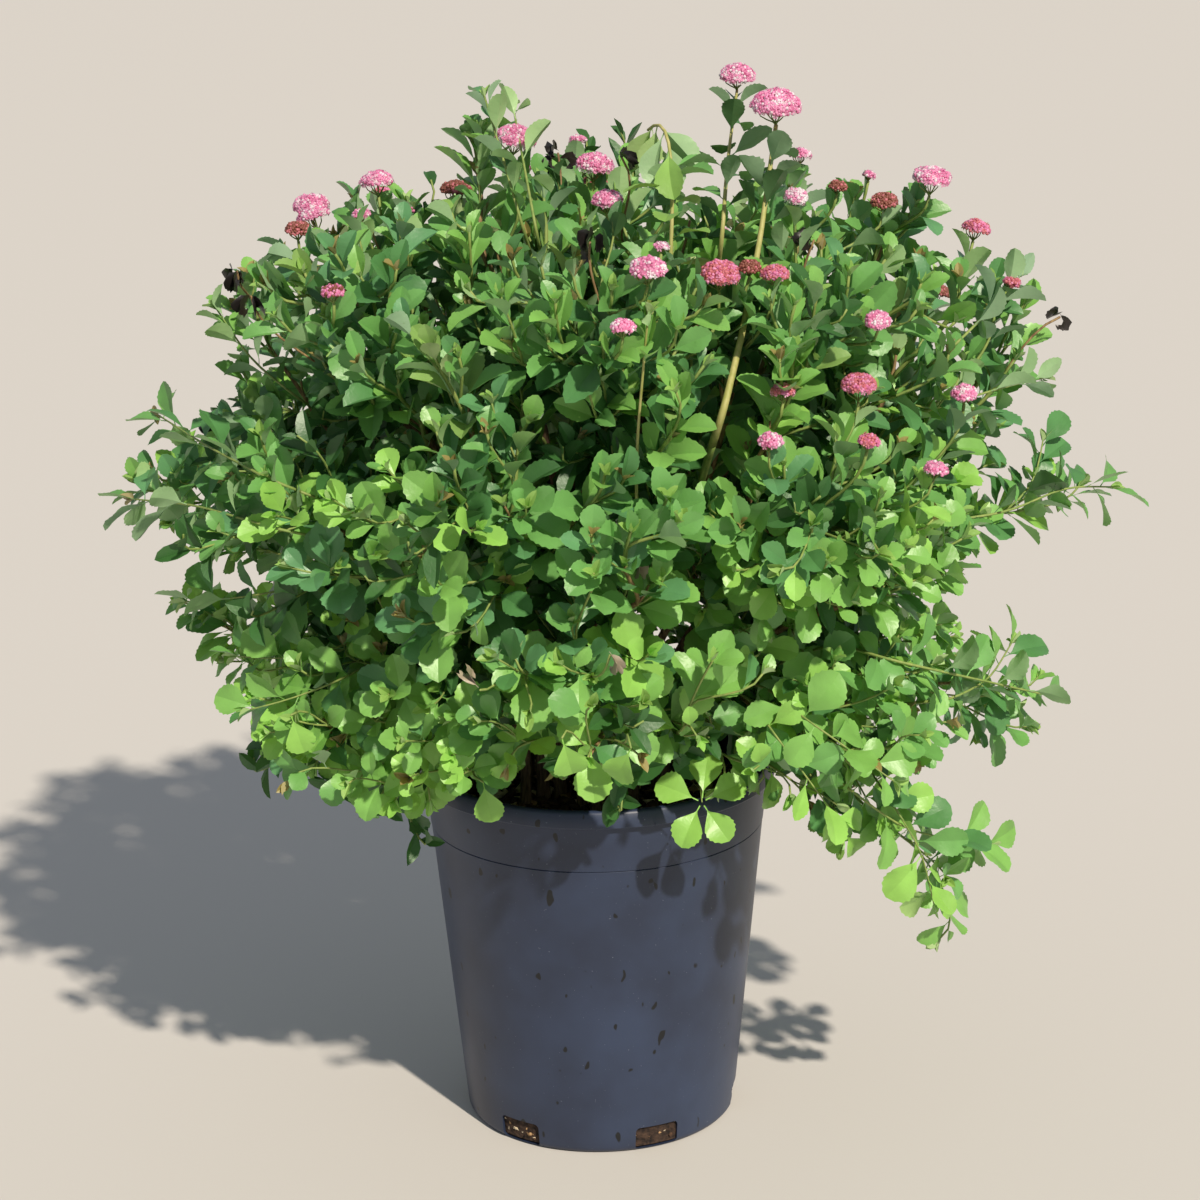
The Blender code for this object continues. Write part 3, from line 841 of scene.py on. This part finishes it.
for line in lines:
    if line.get("dress") == "cluster":
        dressCluster(line)
    elif line["kind"] in ("shoot", "core", "flower", "standOut"):
        dressShoot(line)
    elif line["kind"] == "hangingLeaf":
        place = line["points"][-1]
        forward = np.array((draw.normal(0, 0.25), draw.normal(0, 0.2), -1.0))
        facing = unit(np.array(shot["place"]) - place) + upward * 0.35
        putLeaf("lime", "round", place, forward, facing, between((0.027, 0.033)), line["mass"])
    elif line["kind"] in ("dead", "withered"):
        place, heading = line["points"][-1], unit(line["points"][-1] - line["points"][-2])
        for k in range(line["count"]):
            forward = crossways(heading, between((0, 6.28))) + heading * between((-0.3, 0.9)) - upward * 0.25
            putLeaf(line["kind"], "dead", place + draw.normal(0, 0.002, 3), forward, heading,
                    between((0.010, 0.016)), line["mass"])
print("leaves:", {tint: sum(len(v) for v in kinds.values()) for tint, kinds in leaves.items()})


# materials of the plant

leafTints = {   # upper face, under face
    "lime": ("#92c75e", "#b2d38e"),
    "fresh": ("#80b65c", "#a8cb90"),
    "leafGreen": ("#6ea65a", "#a0c292"),
    "bluish": ("#609764", "#98b896"),
    "deep": ("#548a50", "#8eae88"),
    # inner: a dark green for the core leaves deep in the crown, painted shade
    "inner": ("#3c6a36", "#54784c"),
    "olive": ("#86ab5e", "#a6ba88"),
    "tipGreen": ("#94bb64", "#acc68c"),
    "bronze": ("#9a8f58", "#a69c70"),
    "wiltGreen": ("#8db85c", "#a9c583"),
    "paleWilt": ("#b3c08a", "#c0caa0"),
    "dead": ("#1b1817", "#2a2420"),
    "withered": ("#a89d88", "#9a8e78"),
}


def objectNoise(tree, millimetres, detail=2.0, stretch=None):
    where = addNode(tree, "ShaderNodeTexCoord").outputs["Object"]
    if stretch:
        where = addNode(tree, "ShaderNodeMapping", {"Vector": where, "Scale": stretch}).outputs["Vector"]
    links = {"Vector": where, "Scale": 1000.0 / millimetres, "Detail": detail}
    return addNode(tree, "ShaderNodeTexNoise", links).outputs["Fac"]


def colourRamp(tree, factor, stops):
    node = addNode(tree, "ShaderNodeValToRGB", {"Fac": factor})
    while len(node.color_ramp.elements) < len(stops):
        node.color_ramp.elements.new(0.5)
    for element, (position, colour) in zip(node.color_ramp.elements, stops):
        element.position, element.color = position, colour
    return node.outputs["Color"]


def shaded(colour, factor):
    return tuple(min(1.0, c * factor) for c in colour[:3]) + (1.0,)


def newMaterial(name):
    material = bpy.data.materials.new(name)
    material.use_nodes = True
    material.node_tree.nodes.clear()
    return material, material.node_tree


def reliefSkin(tree, colour, roughness, ior, height, strength, distance, specular=0.5):
    bump = addNode(tree, "ShaderNodeBump", {"Height": height, "Strength": strength, "Distance": distance})
    links = {"Base Color": colour, "Roughness": roughness, "IOR": ior, "Specular IOR Level": specular,
             "Normal": bump.outputs["Normal"]}
    return addNode(tree, "ShaderNodeBsdfPrincipled", links).outputs[0]


def bladeMaterial(name, upper, under, through, warmth=(1.25, 1.2, 0.5)):
    # a leaf or a petal grows as a thin waxy blade, netted with veins: the eye gets a dull satin above,
    # a paler face beneath, and a warmer glow where light comes through
    material, tree = newMaterial(name)
    upper, under = linear(upper), linear(under)
    broad = objectNoise(tree, 22)
    fine = objectNoise(tree, 2.6, 3.0)
    face = colourRamp(tree, broad, [(0.3, shaded(upper, 0.86)), (0.7, shaded(upper, 1.12))])
    back = colourRamp(tree, broad, [(0.3, shaded(under, 0.9)), (0.7, shaded(under, 1.08))])
    side = addNode(tree, "ShaderNodeNewGeometry").outputs["Backfacing"]
    colour = addNode(tree, "ShaderNodeMix", {0: side, 6: face, 7: back}, data_type="RGBA").outputs[2]
    surface = reliefSkin(tree, colour, 0.39, 1.47, fine, 0.35, 0.0006, 0.60)
    if through:
        glow = tuple(min(1.0, c * w) for c, w in zip(upper, warmth)) + (1.0,)
        lit = addNode(tree, "ShaderNodeBsdfTranslucent", {"Color": glow}).outputs[0]
        surface = addNode(tree, "ShaderNodeMixShader", {0: through, 1: surface, 2: lit}).outputs[0]
    addNode(tree, "ShaderNodeOutputMaterial", {"Surface": surface})
    return material


def plainOrganic(name, dark, light, millimetres, roughness, stretch=None, relief=0.3, reliefMm=0.4):
    # bark, shoot skin and chips grow or crumble unevenly: the eye gets a matt face of two tones,
    # drawn out along the grain, with the same grain in relief
    material, tree = newMaterial(name)
    grain = objectNoise(tree, millimetres, 4.0, stretch)
    colour = colourRamp(tree, grain, [(0.32, linear(dark)), (0.68, linear(light))])
    surface = reliefSkin(tree, colour, roughness, 1.45, grain, relief, reliefMm / 1000)
    addNode(tree, "ShaderNodeOutputMaterial", {"Surface": surface})
    return material


def makeObject(name, points, faces, material, ribs=None):
    points, faces = np.asarray(points, np.float32), np.asarray(faces, np.int32)
    mesh = bpy.data.meshes.new(name)
    mesh.vertices.add(len(points))
    mesh.vertices.foreach_set("co", points.ravel())
    mesh.loops.add(faces.size)
    mesh.loops.foreach_set("vertex_index", faces.ravel())
    mesh.polygons.add(len(faces))
    mesh.polygons.foreach_set("loop_start", np.arange(0, faces.size, 3, dtype=np.int32))
    mesh.polygons.foreach_set("loop_total", np.full(len(faces), 3, dtype=np.int32))
    mesh.update(calc_edges=True)
    mesh.polygons.foreach_set("use_smooth", np.ones(len(faces), dtype=bool))
    if ribs is not None:       # the crease along each leaf's midrib
        ends = np.zeros(len(mesh.edges) * 2, np.int32)
        mesh.edges.foreach_get("vertices", ends)
        sharp = mesh.attributes.new("sharp_edge", "BOOLEAN", "EDGE")
        sharp.data.foreach_set("value", ribs[ends.reshape(-1, 2)].all(axis=1))
    mesh.materials.append(material)
    piece = bpy.data.objects.new(name, mesh)
    scene.collection.objects.link(piece)
    return piece


def enlist(piece, replaced=()):
    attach(piece, "root")
    if replaced:
        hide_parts(*replaced)
    print(piece.name, len(piece.data.polygons), "faces")


def addPiece(name, points, faces, material, slotName, replaced=(), ribs=None):
    enlist(makeObject(name, points, faces, material, ribs), replaced)


def joined(parts):
    points, faces, offset = [], [], 0
    for p, f in parts:
        points.append(p)
        faces.append(f + offset)
        offset += len(p)
    return np.concatenate(points), np.concatenate(faces)


def copies(template, rows):
    shape, faces = template
    places = np.array([r[0] for r in rows])
    y = np.array([r[1] for r in rows])
    z = np.array([r[2] for r in rows])
    sizes = np.array([r[3] for r in rows])
    z = z - y * np.sum(z * y, axis=1)[:, None]
    z /= np.maximum(np.linalg.norm(z, axis=1), 1e-6)[:, None]
    axes = np.stack((np.cross(y, z), y, z), axis=1)
    points = np.einsum("vk,nkc->nvc", shape, axes) * sizes[:, None, None] + places[:, None, :]
    steps = np.arange(len(rows))[:, None, None] * len(shape)
    return points.reshape(-1, 3), (faces[None] + steps).reshape(-1, 3)


for tint, kinds in leaves.items():
    upper, under = leafTints[tint]
    through = 0.0 if tint in ("dead", "withered") else 0.22
    material = bladeMaterial("leafBlade_" + tint, upper, under, through)
    parts = [copies(templates[kind][variant], rows) for (kind, variant), rows in kinds.items()]
    replaced = sorted({massNames[row[4]] for rows in kinds.values() for row in rows})
    ribs = [np.tile(np.arange(len(templates[kind][variant][0])) < ribCounts[kind], len(rows))
            for (kind, variant), rows in kinds.items()]
    addPiece("foliage_" + tint, *joined(parts), material, "leaves", replaced, np.concatenate(ribs))


# wood

for line in lines:
    line["load"] = np.ones(len(line["points"]))
for line in reversed(lines):
    if line["parent"] >= 0:
        parent = lines[line["parent"]]
        parent["load"][parent["arcs"] <= line["at"] + 1e-6] += line["load"][0]


def ringFaces(count, sides):
    # two triangles for each side between one ring and the next
    a, faces = np.arange(sides), []
    b = (a + 1) % sides
    for low in range(0, (count - 1) * sides, sides):
        high = low + sides
        faces.append(np.stack((low + a, low + b, high + b), axis=1))
        faces.append(np.stack((low + a, high + b, high + a), axis=1))
    return a, b, faces


def tube(points, radii, sides, relief=0.0, seed=0.0):
    tangents = np.gradient(points, axis=0)
    tangents /= np.maximum(np.linalg.norm(tangents, axis=1), 1e-9)[:, None]
    side = unit(np.cross(tangents[0], np.array((0.31, 0.95, 0.1))))
    rings = []
    turns = np.arange(sides) * 2 * math.pi / sides
    for point, tangent, radius in zip(points, tangents, radii):
        side = unit(side - tangent * float(side @ tangent))
        other = np.cross(tangent, side)
        around = side[None] * np.cos(turns)[:, None] + other[None] * np.sin(turns)[:, None]
        reach = np.full(sides, radius)
        if relief:
            for k in range(sides):
                spot = Vector(point + around[k] * radius)
                ridge = noise.noise(Vector((around[k][0] * 3.1 + seed, around[k][1] * 3.1, spot.z * 22)))
                scale = noise.noise(spot * 260 + Vector((seed, 0, 0)))
                reach[k] *= 1 + relief * (ridge * 0.7 + scale * 0.6)
        rings.append(point[None] + around * reach[:, None])
    verts = np.concatenate(rings + [points[-1:] + tangents[-1:] * radii[-1] * 0.6])
    count = len(points)
    a, b, faces = ringFaces(count, sides)
    last = (count - 1) * sides
    faces.append(np.stack((last + a, last + b, np.full(sides, count * sides)), axis=1))
    faces.append(np.stack((b[1:-1] * 0, b[1:-1], a[1:-1]), axis=1))
    return verts, np.concatenate(faces)


wood = {"stem": [], "bough": [], "shoot": [], "ripe": []}
stemsStoodFor = []
for index, line in enumerate(lines):
    points = line["points"]
    loads = line["load"]
    if line["kind"] == "stem":
        steps = np.linspace(0, line["arcs"][-1], int(line["arcs"][-1] / 0.0035))
        fine = smoothed(sampled(points, line["arcs"], steps), 6)
        swelling = np.abs(np.sin(steps * 105 + index)) ** 14      # where shoots left it
        radii = np.interp(steps, line["arcs"], line["radii"]) * (1 + 0.10 * swelling)
        wood["stem"].append(tube(fine, radii, 12, 0.13, index * 3.7))
        stemsStoodFor.append(line["node"])
        continue
    if line["kind"] == "standOut":
        radii = np.linspace(line["tipRadius"], line["tipRadius"] * 0.55, len(points))
        if line["dress"] in ripeDress:
            wood["ripe"].append(tube(points, radii, 8, 0.06, index))
        else:
            wood["shoot"].append(tube(points, radii, 5))
        continue
    radii = np.minimum(growth["thickest"], line.get("tipRadius", 0.0009) * loads ** growth["thickening"])
    if line["kind"] == "bare":
        radii = np.maximum(radii, lines[index + 1].get("tipRadius", 0.0009))
    if line["kind"] == "bough":
        radii = np.minimum(growth["thickest"], np.maximum(radii, 0.0018)) * np.linspace(1, 0.55, len(points))
    thick = loads.mean() > 3 or line["kind"] in ("bough", "dead")
    wood["bough" if thick else "shoot"].append(tube(points, radii, 6 if thick else 4))

barkMaterial = plainOrganic("springBark_weathered", "#4a382b", "#8a7058", 1.8, 0.85, (1, 1, 0.12), 0.6, 0.8)
boughMaterial = plainOrganic("twigBark_smooth", "#6b5136", "#9a8258", 2.2, 0.7, (1, 1, 0.15), 0.3)
shootMaterial = plainOrganic("shootSkin_green", "#6f8a44", "#929f58", 5, 0.6, (1, 1, 0.3), 0.2)
ripeMaterial = plainOrganic("shootSkin_ripening", "#979a52", "#b5ae74", 4, 0.58, (1, 1, 0.2), 0.25)
addPiece("stems_bark", *joined(wood["stem"]), barkMaterial, "bark", stemsStoodFor)
addPiece("boughs_bark", *joined(wood["bough"]), boughMaterial, "bark")
addPiece("shoots_green", *joined(wood["shoot"]), shootMaterial, "bark")
addPiece("shoots_ripening", *joined(wood["ripe"]), ripeMaterial, "bark")


# blossom: flat heads of tiny buds and open florets on branching stalks

blossom = {
    "budSize": (0.0011, 0.0016),
    "spacing": 0.00180,
    "openShare": 0.36,
    "spread": 0.46,          # the dome's radius to the head's width
    "dome": 0.30,            # its height to the head's width
    "brim": 1.72,            # how far round the dome goes, in radians from its top
    "cushion": 0.88,         # the closed middle under the buds
    "branches": 7,
    "through": 0.45,
    "warmth": (1.1, 1.1, 1.1),
}
blossomTints = {   # the bud's colours in one head
    "pink": ("pink", "pink", "rose", "blush"),
    "coral": ("coral", "rose", "coral", "pink"), "rust": ("rust", "coral", "rust", "rust"),
    "dull": ("rose", "rust", "pink", "rust"), "pale": ("blush", "blush", "pink", "blush"),
}
petalColours = {
    "pink": ("#f6b0d6", "#f8c0de"), "rose": ("#ea92c0", "#f0a6cc"), "blush": ("#fff0f8", "#fff4fa"),
    "coral": ("#e08c96", "#eaa2aa"), "rust": ("#a4685a", "#b8806e"),
}
# the closed middle under the buds: for pink and pale heads a darker pink than their buds, painted shade in
# the gaps between the buds
cushionShadeTints = {"pink": "rose", "coral": "coral", "rust": "rust", "dull": "rust", "pale": "pink"}


def ballTemplate():
    golden = (1 + 5 ** 0.5) / 2
    points = [(-1, golden, 0), (1, golden, 0), (-1, -golden, 0), (1, -golden, 0),
              (0, -1, golden), (0, 1, golden), (0, -1, -golden), (0, 1, -golden),
              (golden, 0, -1), (golden, 0, 1), (-golden, 0, -1), (-golden, 0, 1)]
    faces = [(0, 11, 5), (0, 5, 1), (0, 1, 7), (0, 7, 10), (0, 10, 11), (1, 5, 9), (5, 11, 4),
             (11, 10, 2), (10, 7, 6), (7, 1, 8), (3, 9, 4), (3, 4, 2), (3, 2, 6), (3, 6, 8),
             (3, 8, 9), (4, 9, 5), (2, 4, 11), (6, 2, 10), (8, 6, 7), (9, 8, 1)]
    return np.array(points) / math.hypot(1, golden), np.array(faces)


def floretTemplate():
    points, faces = [(0, 0, 0)], []
    for k in range(5):
        turn = k * 2 * math.pi / 5
        for spread, reach, rise in ((-0.42, 0.75, 0.32), (0.0, 1.1, 0.28), (0.42, 0.75, 0.32)):
            points.append((reach * math.cos(turn + spread), reach * math.sin(turn + spread), rise))
        first = 1 + k * 3
        faces += [(0, first, first + 1), (0, first + 1, first + 2)]
    return np.array(points), np.array(faces)


def onDome(head, side, other, polar, turn, scale=1.0):
    # a spot on the head's dome and which way it looks there
    way = side * math.cos(turn) + other * math.sin(turn)
    across, rise = head["width"] * blossom["spread"] * scale, head["width"] * blossom["dome"] * scale
    spot = head["place"] + way * math.sin(polar) * across + head["axis"] * math.cos(polar) * rise
    return spot, unit(way * math.sin(polar) / across + head["axis"] * math.cos(polar) / rise)


def cushion(head, side, other, sides=8, levels=(0.55, 1.1, 1.65)):
    points = [onDome(head, side, other, 0, 0, blossom["cushion"])[0], head["place"]]
    faces, count = [], len(levels)
    for k in range(sides):
        turn, a, b = 2 * math.pi * k / sides, 2 + k * count, 2 + (k + 1) % sides * count
        points += [onDome(head, side, other, polar, turn, blossom["cushion"])[0] for polar in levels]
        faces += [(0, a, b), (1, b + count - 1, a + count - 1)]
        for i in range(count - 1):
            faces += [(a + i, a + i + 1, b + i + 1), (a + i, b + i + 1, b + i)]
    return np.array(points), np.array(faces)


ball, floret = ballTemplate(), floretTemplate()
petals = {tint: {"ball": [], "floret": []} for tint in petalColours}
cushions = {tint: [] for tint in petalColours}
stalks = []
for head in heads:
    width, axis, place = head["width"], head["axis"], head["place"]
    side = crossways(axis, 0.0)
    other = np.cross(axis, side)
    base = head["base"]
    lumpSeed = between((0, 50))
    cushions[cushionShadeTints[head["tint"]]].append(cushion(head, side, other))
    for k in range(blossom["branches"]):      # the stalks that carry the dome, like the ribs of an umbrella
        turn = k * goldenTurn
        way = side * math.cos(turn) + other * math.sin(turn)
        rib = way * width * 0.40 * math.sqrt(k / blossom["branches"])
        end = place + rib - axis * width * 0.06
        line = curve(base, base + axis * width * 0.10, end - axis * width * 0.22, end, 5)
        stalks.append(tube(line, np.linspace(0.0007, 0.0004, 5), 3))
    count = max(24, int(1.5 * math.pi * (width / 2 / blossom["spacing"]) ** 2))
    for k in range(count):      # evenly over the dome along a spiral, a little lumpy
        polar = math.acos(1 - (k + 0.5) / count * (1 - math.cos(blossom["brim"])))
        spot, normal = onDome(head, side, other, polar, k * goldenTurn)
        lump = noise.noise(Vector((spot - place) / width * 5) + Vector((lumpSeed, 0, 0)))
        bud = spot + normal * width * 0.05 * lump + draw.normal(0, 0.0003, 3)
        normal = unit(normal + draw.normal(0, 0.2, 3))
        tint = blossomTints[head["tint"]][int(draw.integers(4))]
        forward = crossways(normal, between((0, 6.28)))
        if draw.random() < blossom["openShare"] and head["tint"] not in ("rust", "dull"):
            petals[tint]["floret"].append((bud, forward, normal, between((0.0018, 0.0025))))
        else:
            petals[tint]["ball"].append((bud, forward, normal, between(blossom["budSize"])))
for tint, kinds in petals.items():
    material = bladeMaterial("petal_" + tint, *petalColours[tint], blossom["through"], blossom["warmth"])
    shapes = ((ball, kinds["ball"]), (floret, kinds["floret"]))
    parts = [copies(shape, rows) for shape, rows in shapes if rows]
    if parts:
        addPiece("blossom_" + tint, *joined(parts + cushions[tint]), material, "leaves")
addPiece("blossom_stalks", *joined(stalks), shootMaterial, "leaves")


# pot and mix

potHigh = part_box("pot")[1]
potShape = {
    "sides": 144,
    "footRadius": 0.1085,
    "wallTop": 0.1362,           # the wall's radius where the lip starts
    "lipFoot": 0.2835,
    "lipLean": 0.0030,           # how far the lip's face leans in over its height
    "lipInner": 0.1325,
    "wall": 0.0022,
    "floor": 0.003,
    "footRound": 0.006,
    "lipRound": 0.0012,
    "groove": 0.2455,
    "grooveWidth": 0.0012,
    "grooveDepth": 0.0007,
    "slots": 6,
    "firstSlot": 293.5,          # degrees round from +X
    "slotSize": (0.016, 0.036, 0.0190),
    "slotFoot": 0.0016,
    "slotCorner": 0.0035,
    "seam": 288.0,               # where the two halves of the mould met on the lip
    "seamSize": (0.0012, 0.0007, 0.014),
}
mix = {
    "top": 0.2618,
    "radius": 0.1315,
    "count": 1300,
    "length": (0.006, 0.026),
    "shapes": 6,
    "shares": (0.42, 0.30, 0.19, 0.09),       # of the four chip colours
    "slotHeight": 0.011,
    "slotRadius": 0.1062,
    "slotSpread": 0.165,                      # half a slot's width in radians
    "slotCount": 90,
    "slotLength": (0.0025, 0.0065),
    "slotShares": (0.28, 0.22, 0.28, 0.22),
}


def chipTemplate():
    box = np.array([(x, y, z) for x in (-0.5, 0.5) for y in (-0.5, 0.5) for z in (-0.5, 0.5)])
    box = box * (0.34, 1.0, 0.16) + draw.normal(0, 0.05, (8, 3))
    faces = [(0, 1, 3), (0, 3, 2), (4, 6, 7), (4, 7, 5), (0, 4, 5), (0, 5, 1),
             (2, 3, 7), (2, 7, 6), (0, 2, 6), (0, 6, 4), (1, 5, 7), (1, 7, 3)]
    return box, np.array(faces)


chipTemplates = [chipTemplate() for _ in range(mix["shapes"])]
chipColours = {"brown": ("#3a2a20", "#5e4431"), "umber": ("#241b16", "#40302a"),
               "tan": ("#8a6a48", "#b3926a"), "cream": ("#c0ae90", "#ded0b4")}
chips = {tint: {} for tint in chipColours}


def putChip(place, facing, size, shares):
    tint = str(draw.choice(list(chipColours), p=shares))
    forward = crossways(facing, between((0, 6.28)))
    chips[tint].setdefault(int(draw.integers(mix["shapes"])), []).append((place, forward, facing, size))


for _ in range(mix["count"]):
    size, turn = between(mix["length"]), between((0, 6.28))
    out = math.sqrt(draw.random()) * (mix["radius"] - size * 0.6)
    place = np.array((out * math.cos(turn), out * math.sin(turn), mix["top"] + between((-0.001, 0.005))))
    putChip(place, unit(upward + draw.normal(0, 0.28, 3)), size, mix["shares"])
for slot in range(potShape["slots"]):
    middle = math.radians(potShape["firstSlot"] + slot * 360 / potShape["slots"])
    for _ in range(mix["slotCount"]):
        turn = middle + between((-mix["slotSpread"], mix["slotSpread"]))
        out = np.array((math.cos(turn), math.sin(turn), 0))
        radius = mix["slotRadius"] + between((-0.0035, 0.0005))
        height = mix["slotHeight"] + between((-0.0045, 0.0080))
        facing = unit(out + draw.normal(0, 0.3, 3))
        putChip(out * radius + upward * height, facing, between(mix["slotLength"]), mix["slotShares"])
for tint, kinds in chips.items():
    material = plainOrganic("barkChip_" + tint, *chipColours[tint], 3.5, 0.9, (1, 1, 1), 0.4)
    parts = [copies(chipTemplates[v], rows) for v, rows in kinds.items()]
    addPiece("mix_chips_" + tint, *joined(parts), material, "potting_mix")

crumb = plainOrganic("compostedBark_crumb", "#1d1512", "#4a382c", 4, 0.95, None, 1.0, 2.5)
nodes["potting_mix"].data.materials.clear()
nodes["potting_mix"].data.materials.append(crumb)


def potMaterial():
    # polypropylene, moulded and left as it came: satin, dusty, with dried splashes and an uneven skin
    material, tree = newMaterial("polypropylene_moulded")
    tones = [(0.35, linear("#252e43")), (0.65, linear("#2e3a53"))]
    colour = colourRamp(tree, objectNoise(tree, 70, 3.0), tones)
    spots = ((objectNoise(tree, 1.4, 1.0), (0.76, 0.82), "#707886"), (objectNoise(tree, 8, 0.4, (1, 1, 0.6)),
             (0.755, 0.775), "#0d1014"))
    for pattern, (low, high), tint in spots:      # pale dust, then the dark splashes
        share = colourRamp(tree, pattern, [(low, (0, 0, 0, 1)), (high, (1, 1, 1, 1))])
        links = {0: share, 6: colour, 7: linear(tint)}
        colour = addNode(tree, "ShaderNodeMix", links, data_type="RGBA").outputs[2]
    surface = reliefSkin(tree, colour, 0.44, 1.49, objectNoise(tree, 14, 3.0), 0.12, 0.001)
    addNode(tree, "ShaderNodeOutputMaterial", {"Surface": surface})
    return material


def arc(middle, radius, start, end, steps=6):
    turns = np.radians(np.linspace(start, end, steps))
    return [(middle[0] + radius * math.cos(t), middle[1] + radius * math.sin(t)) for t in turns]


def potProfile():
    top, lip, form = potHigh[2], potHigh[0], potShape

    def wallAt(height):
        return form["footRadius"] + (form["wallTop"] - form["footRadius"]) * height / form["lipFoot"]

    rounding, edge = form["footRound"], lip - form["lipLean"]
    roll = (edge - form["lipInner"]) / 2
    half, low = form["grooveWidth"] / 2, form["lipFoot"] + form["lipRound"]
    outer = [(0.0, 0.0)] + arc((wallAt(rounding) - rounding, rounding), rounding, -90, 0)
    outer += [(wallAt(h), h) for h in np.linspace(0.02, form["groove"] - half, 12)]
    outer += [(wallAt(form["groove"]) - form["grooveDepth"], form["groove"]),
              (wallAt(form["groove"] + half) + 0.0003, form["groove"] + half)]
    outer += [(wallAt(form["lipFoot"]) + 0.0003, form["lipFoot"])]
    outer += arc((lip - form["lipRound"], low), form["lipRound"], -90, 0, 4)
    outer += arc((edge - roll, top - roll), roll, 15, 180, 13)
    inner = [(wallAt(h) - form["wall"], h) for h in (form["lipFoot"] - 0.002, form["groove"], form["floor"])]
    return outer + inner + [(0.0, form["floor"])]


def turnedPot():
    sides, profile = potShape["sides"], potProfile()
    turns = np.arange(sides) * 2 * math.pi / sides
    rings = [np.stack((r * np.cos(turns), r * np.sin(turns), np.full(sides, z)), axis=1)
             for r, z in profile[1:-1]]
    points = np.concatenate(rings + [np.array([(0, 0, profile[0][1]), (0, 0, profile[-1][1])])])
    a, b, faces = ringFaces(len(rings), sides)
    last, foot, floor = (len(rings) - 1) * sides, len(points) - 2, len(points) - 1
    faces += [np.stack((b, a, np.full(sides, foot)), axis=1)]
    faces += [np.stack((last + a, last + b, np.full(sides, floor)), axis=1)]
    return points, np.concatenate(faces)


def cutterBlock(bm, size, corner, place, degrees):
    block = bmesh.new()
    bmesh.ops.create_cube(block, size=1)
    bmesh.ops.scale(block, vec=size, verts=block.verts)
    edges = [e for e in block.edges if abs(e.verts[0].co.x - e.verts[1].co.x) > size[0] / 2]
    if corner:
        bmesh.ops.bevel(block, geom=edges, offset=corner, segments=5, profile=0.5, affect="EDGES")
    turn = Matrix.Rotation(math.radians(degrees), 4, "Z") @ Matrix.Translation(place)
    bmesh.ops.transform(block, matrix=turn, verts=block.verts)
    mesh = bpy.data.meshes.new("block")
    block.to_mesh(mesh)
    block.free()
    bm.from_mesh(mesh)
    bpy.data.meshes.remove(mesh)


def carve(piece):
    bm, form = bmesh.new(), potShape
    slotPlace = (form["footRadius"], 0, form["slotFoot"] + form["slotSize"][2] / 2)
    for k in range(form["slots"]):
        bearing = form["firstSlot"] + k * 360 / form["slots"]
        cutterBlock(bm, form["slotSize"], form["slotCorner"], slotPlace, bearing)
    seamPlace = (potHigh[0], 0, form["lipFoot"] + form["seamSize"][2] / 2)
    cutterBlock(bm, form["seamSize"], 0, seamPlace, form["seam"])
    mesh = bpy.data.meshes.new("potCutter")
    bm.to_mesh(mesh)
    bm.free()
    cutter = bpy.data.objects.new("potCutter", mesh)
    scene.collection.objects.link(cutter)
    notch = piece.modifiers.new("drainSlots", "BOOLEAN")
    notch.operation, notch.solver, notch.object = "DIFFERENCE", "EXACT", cutter
    carved = bpy.data.meshes.new_from_object(piece.evaluated_get(bpy.context.evaluated_depsgraph_get()))
    piece.modifiers.clear()
    piece.data = carved
    bpy.data.objects.remove(cutter)
    carved.set_sharp_from_angle(angle=math.radians(38))


pot = makeObject("pot_moulded", *turnedPot(), potMaterial())
carve(pot)
enlist(pot, ["pot"])
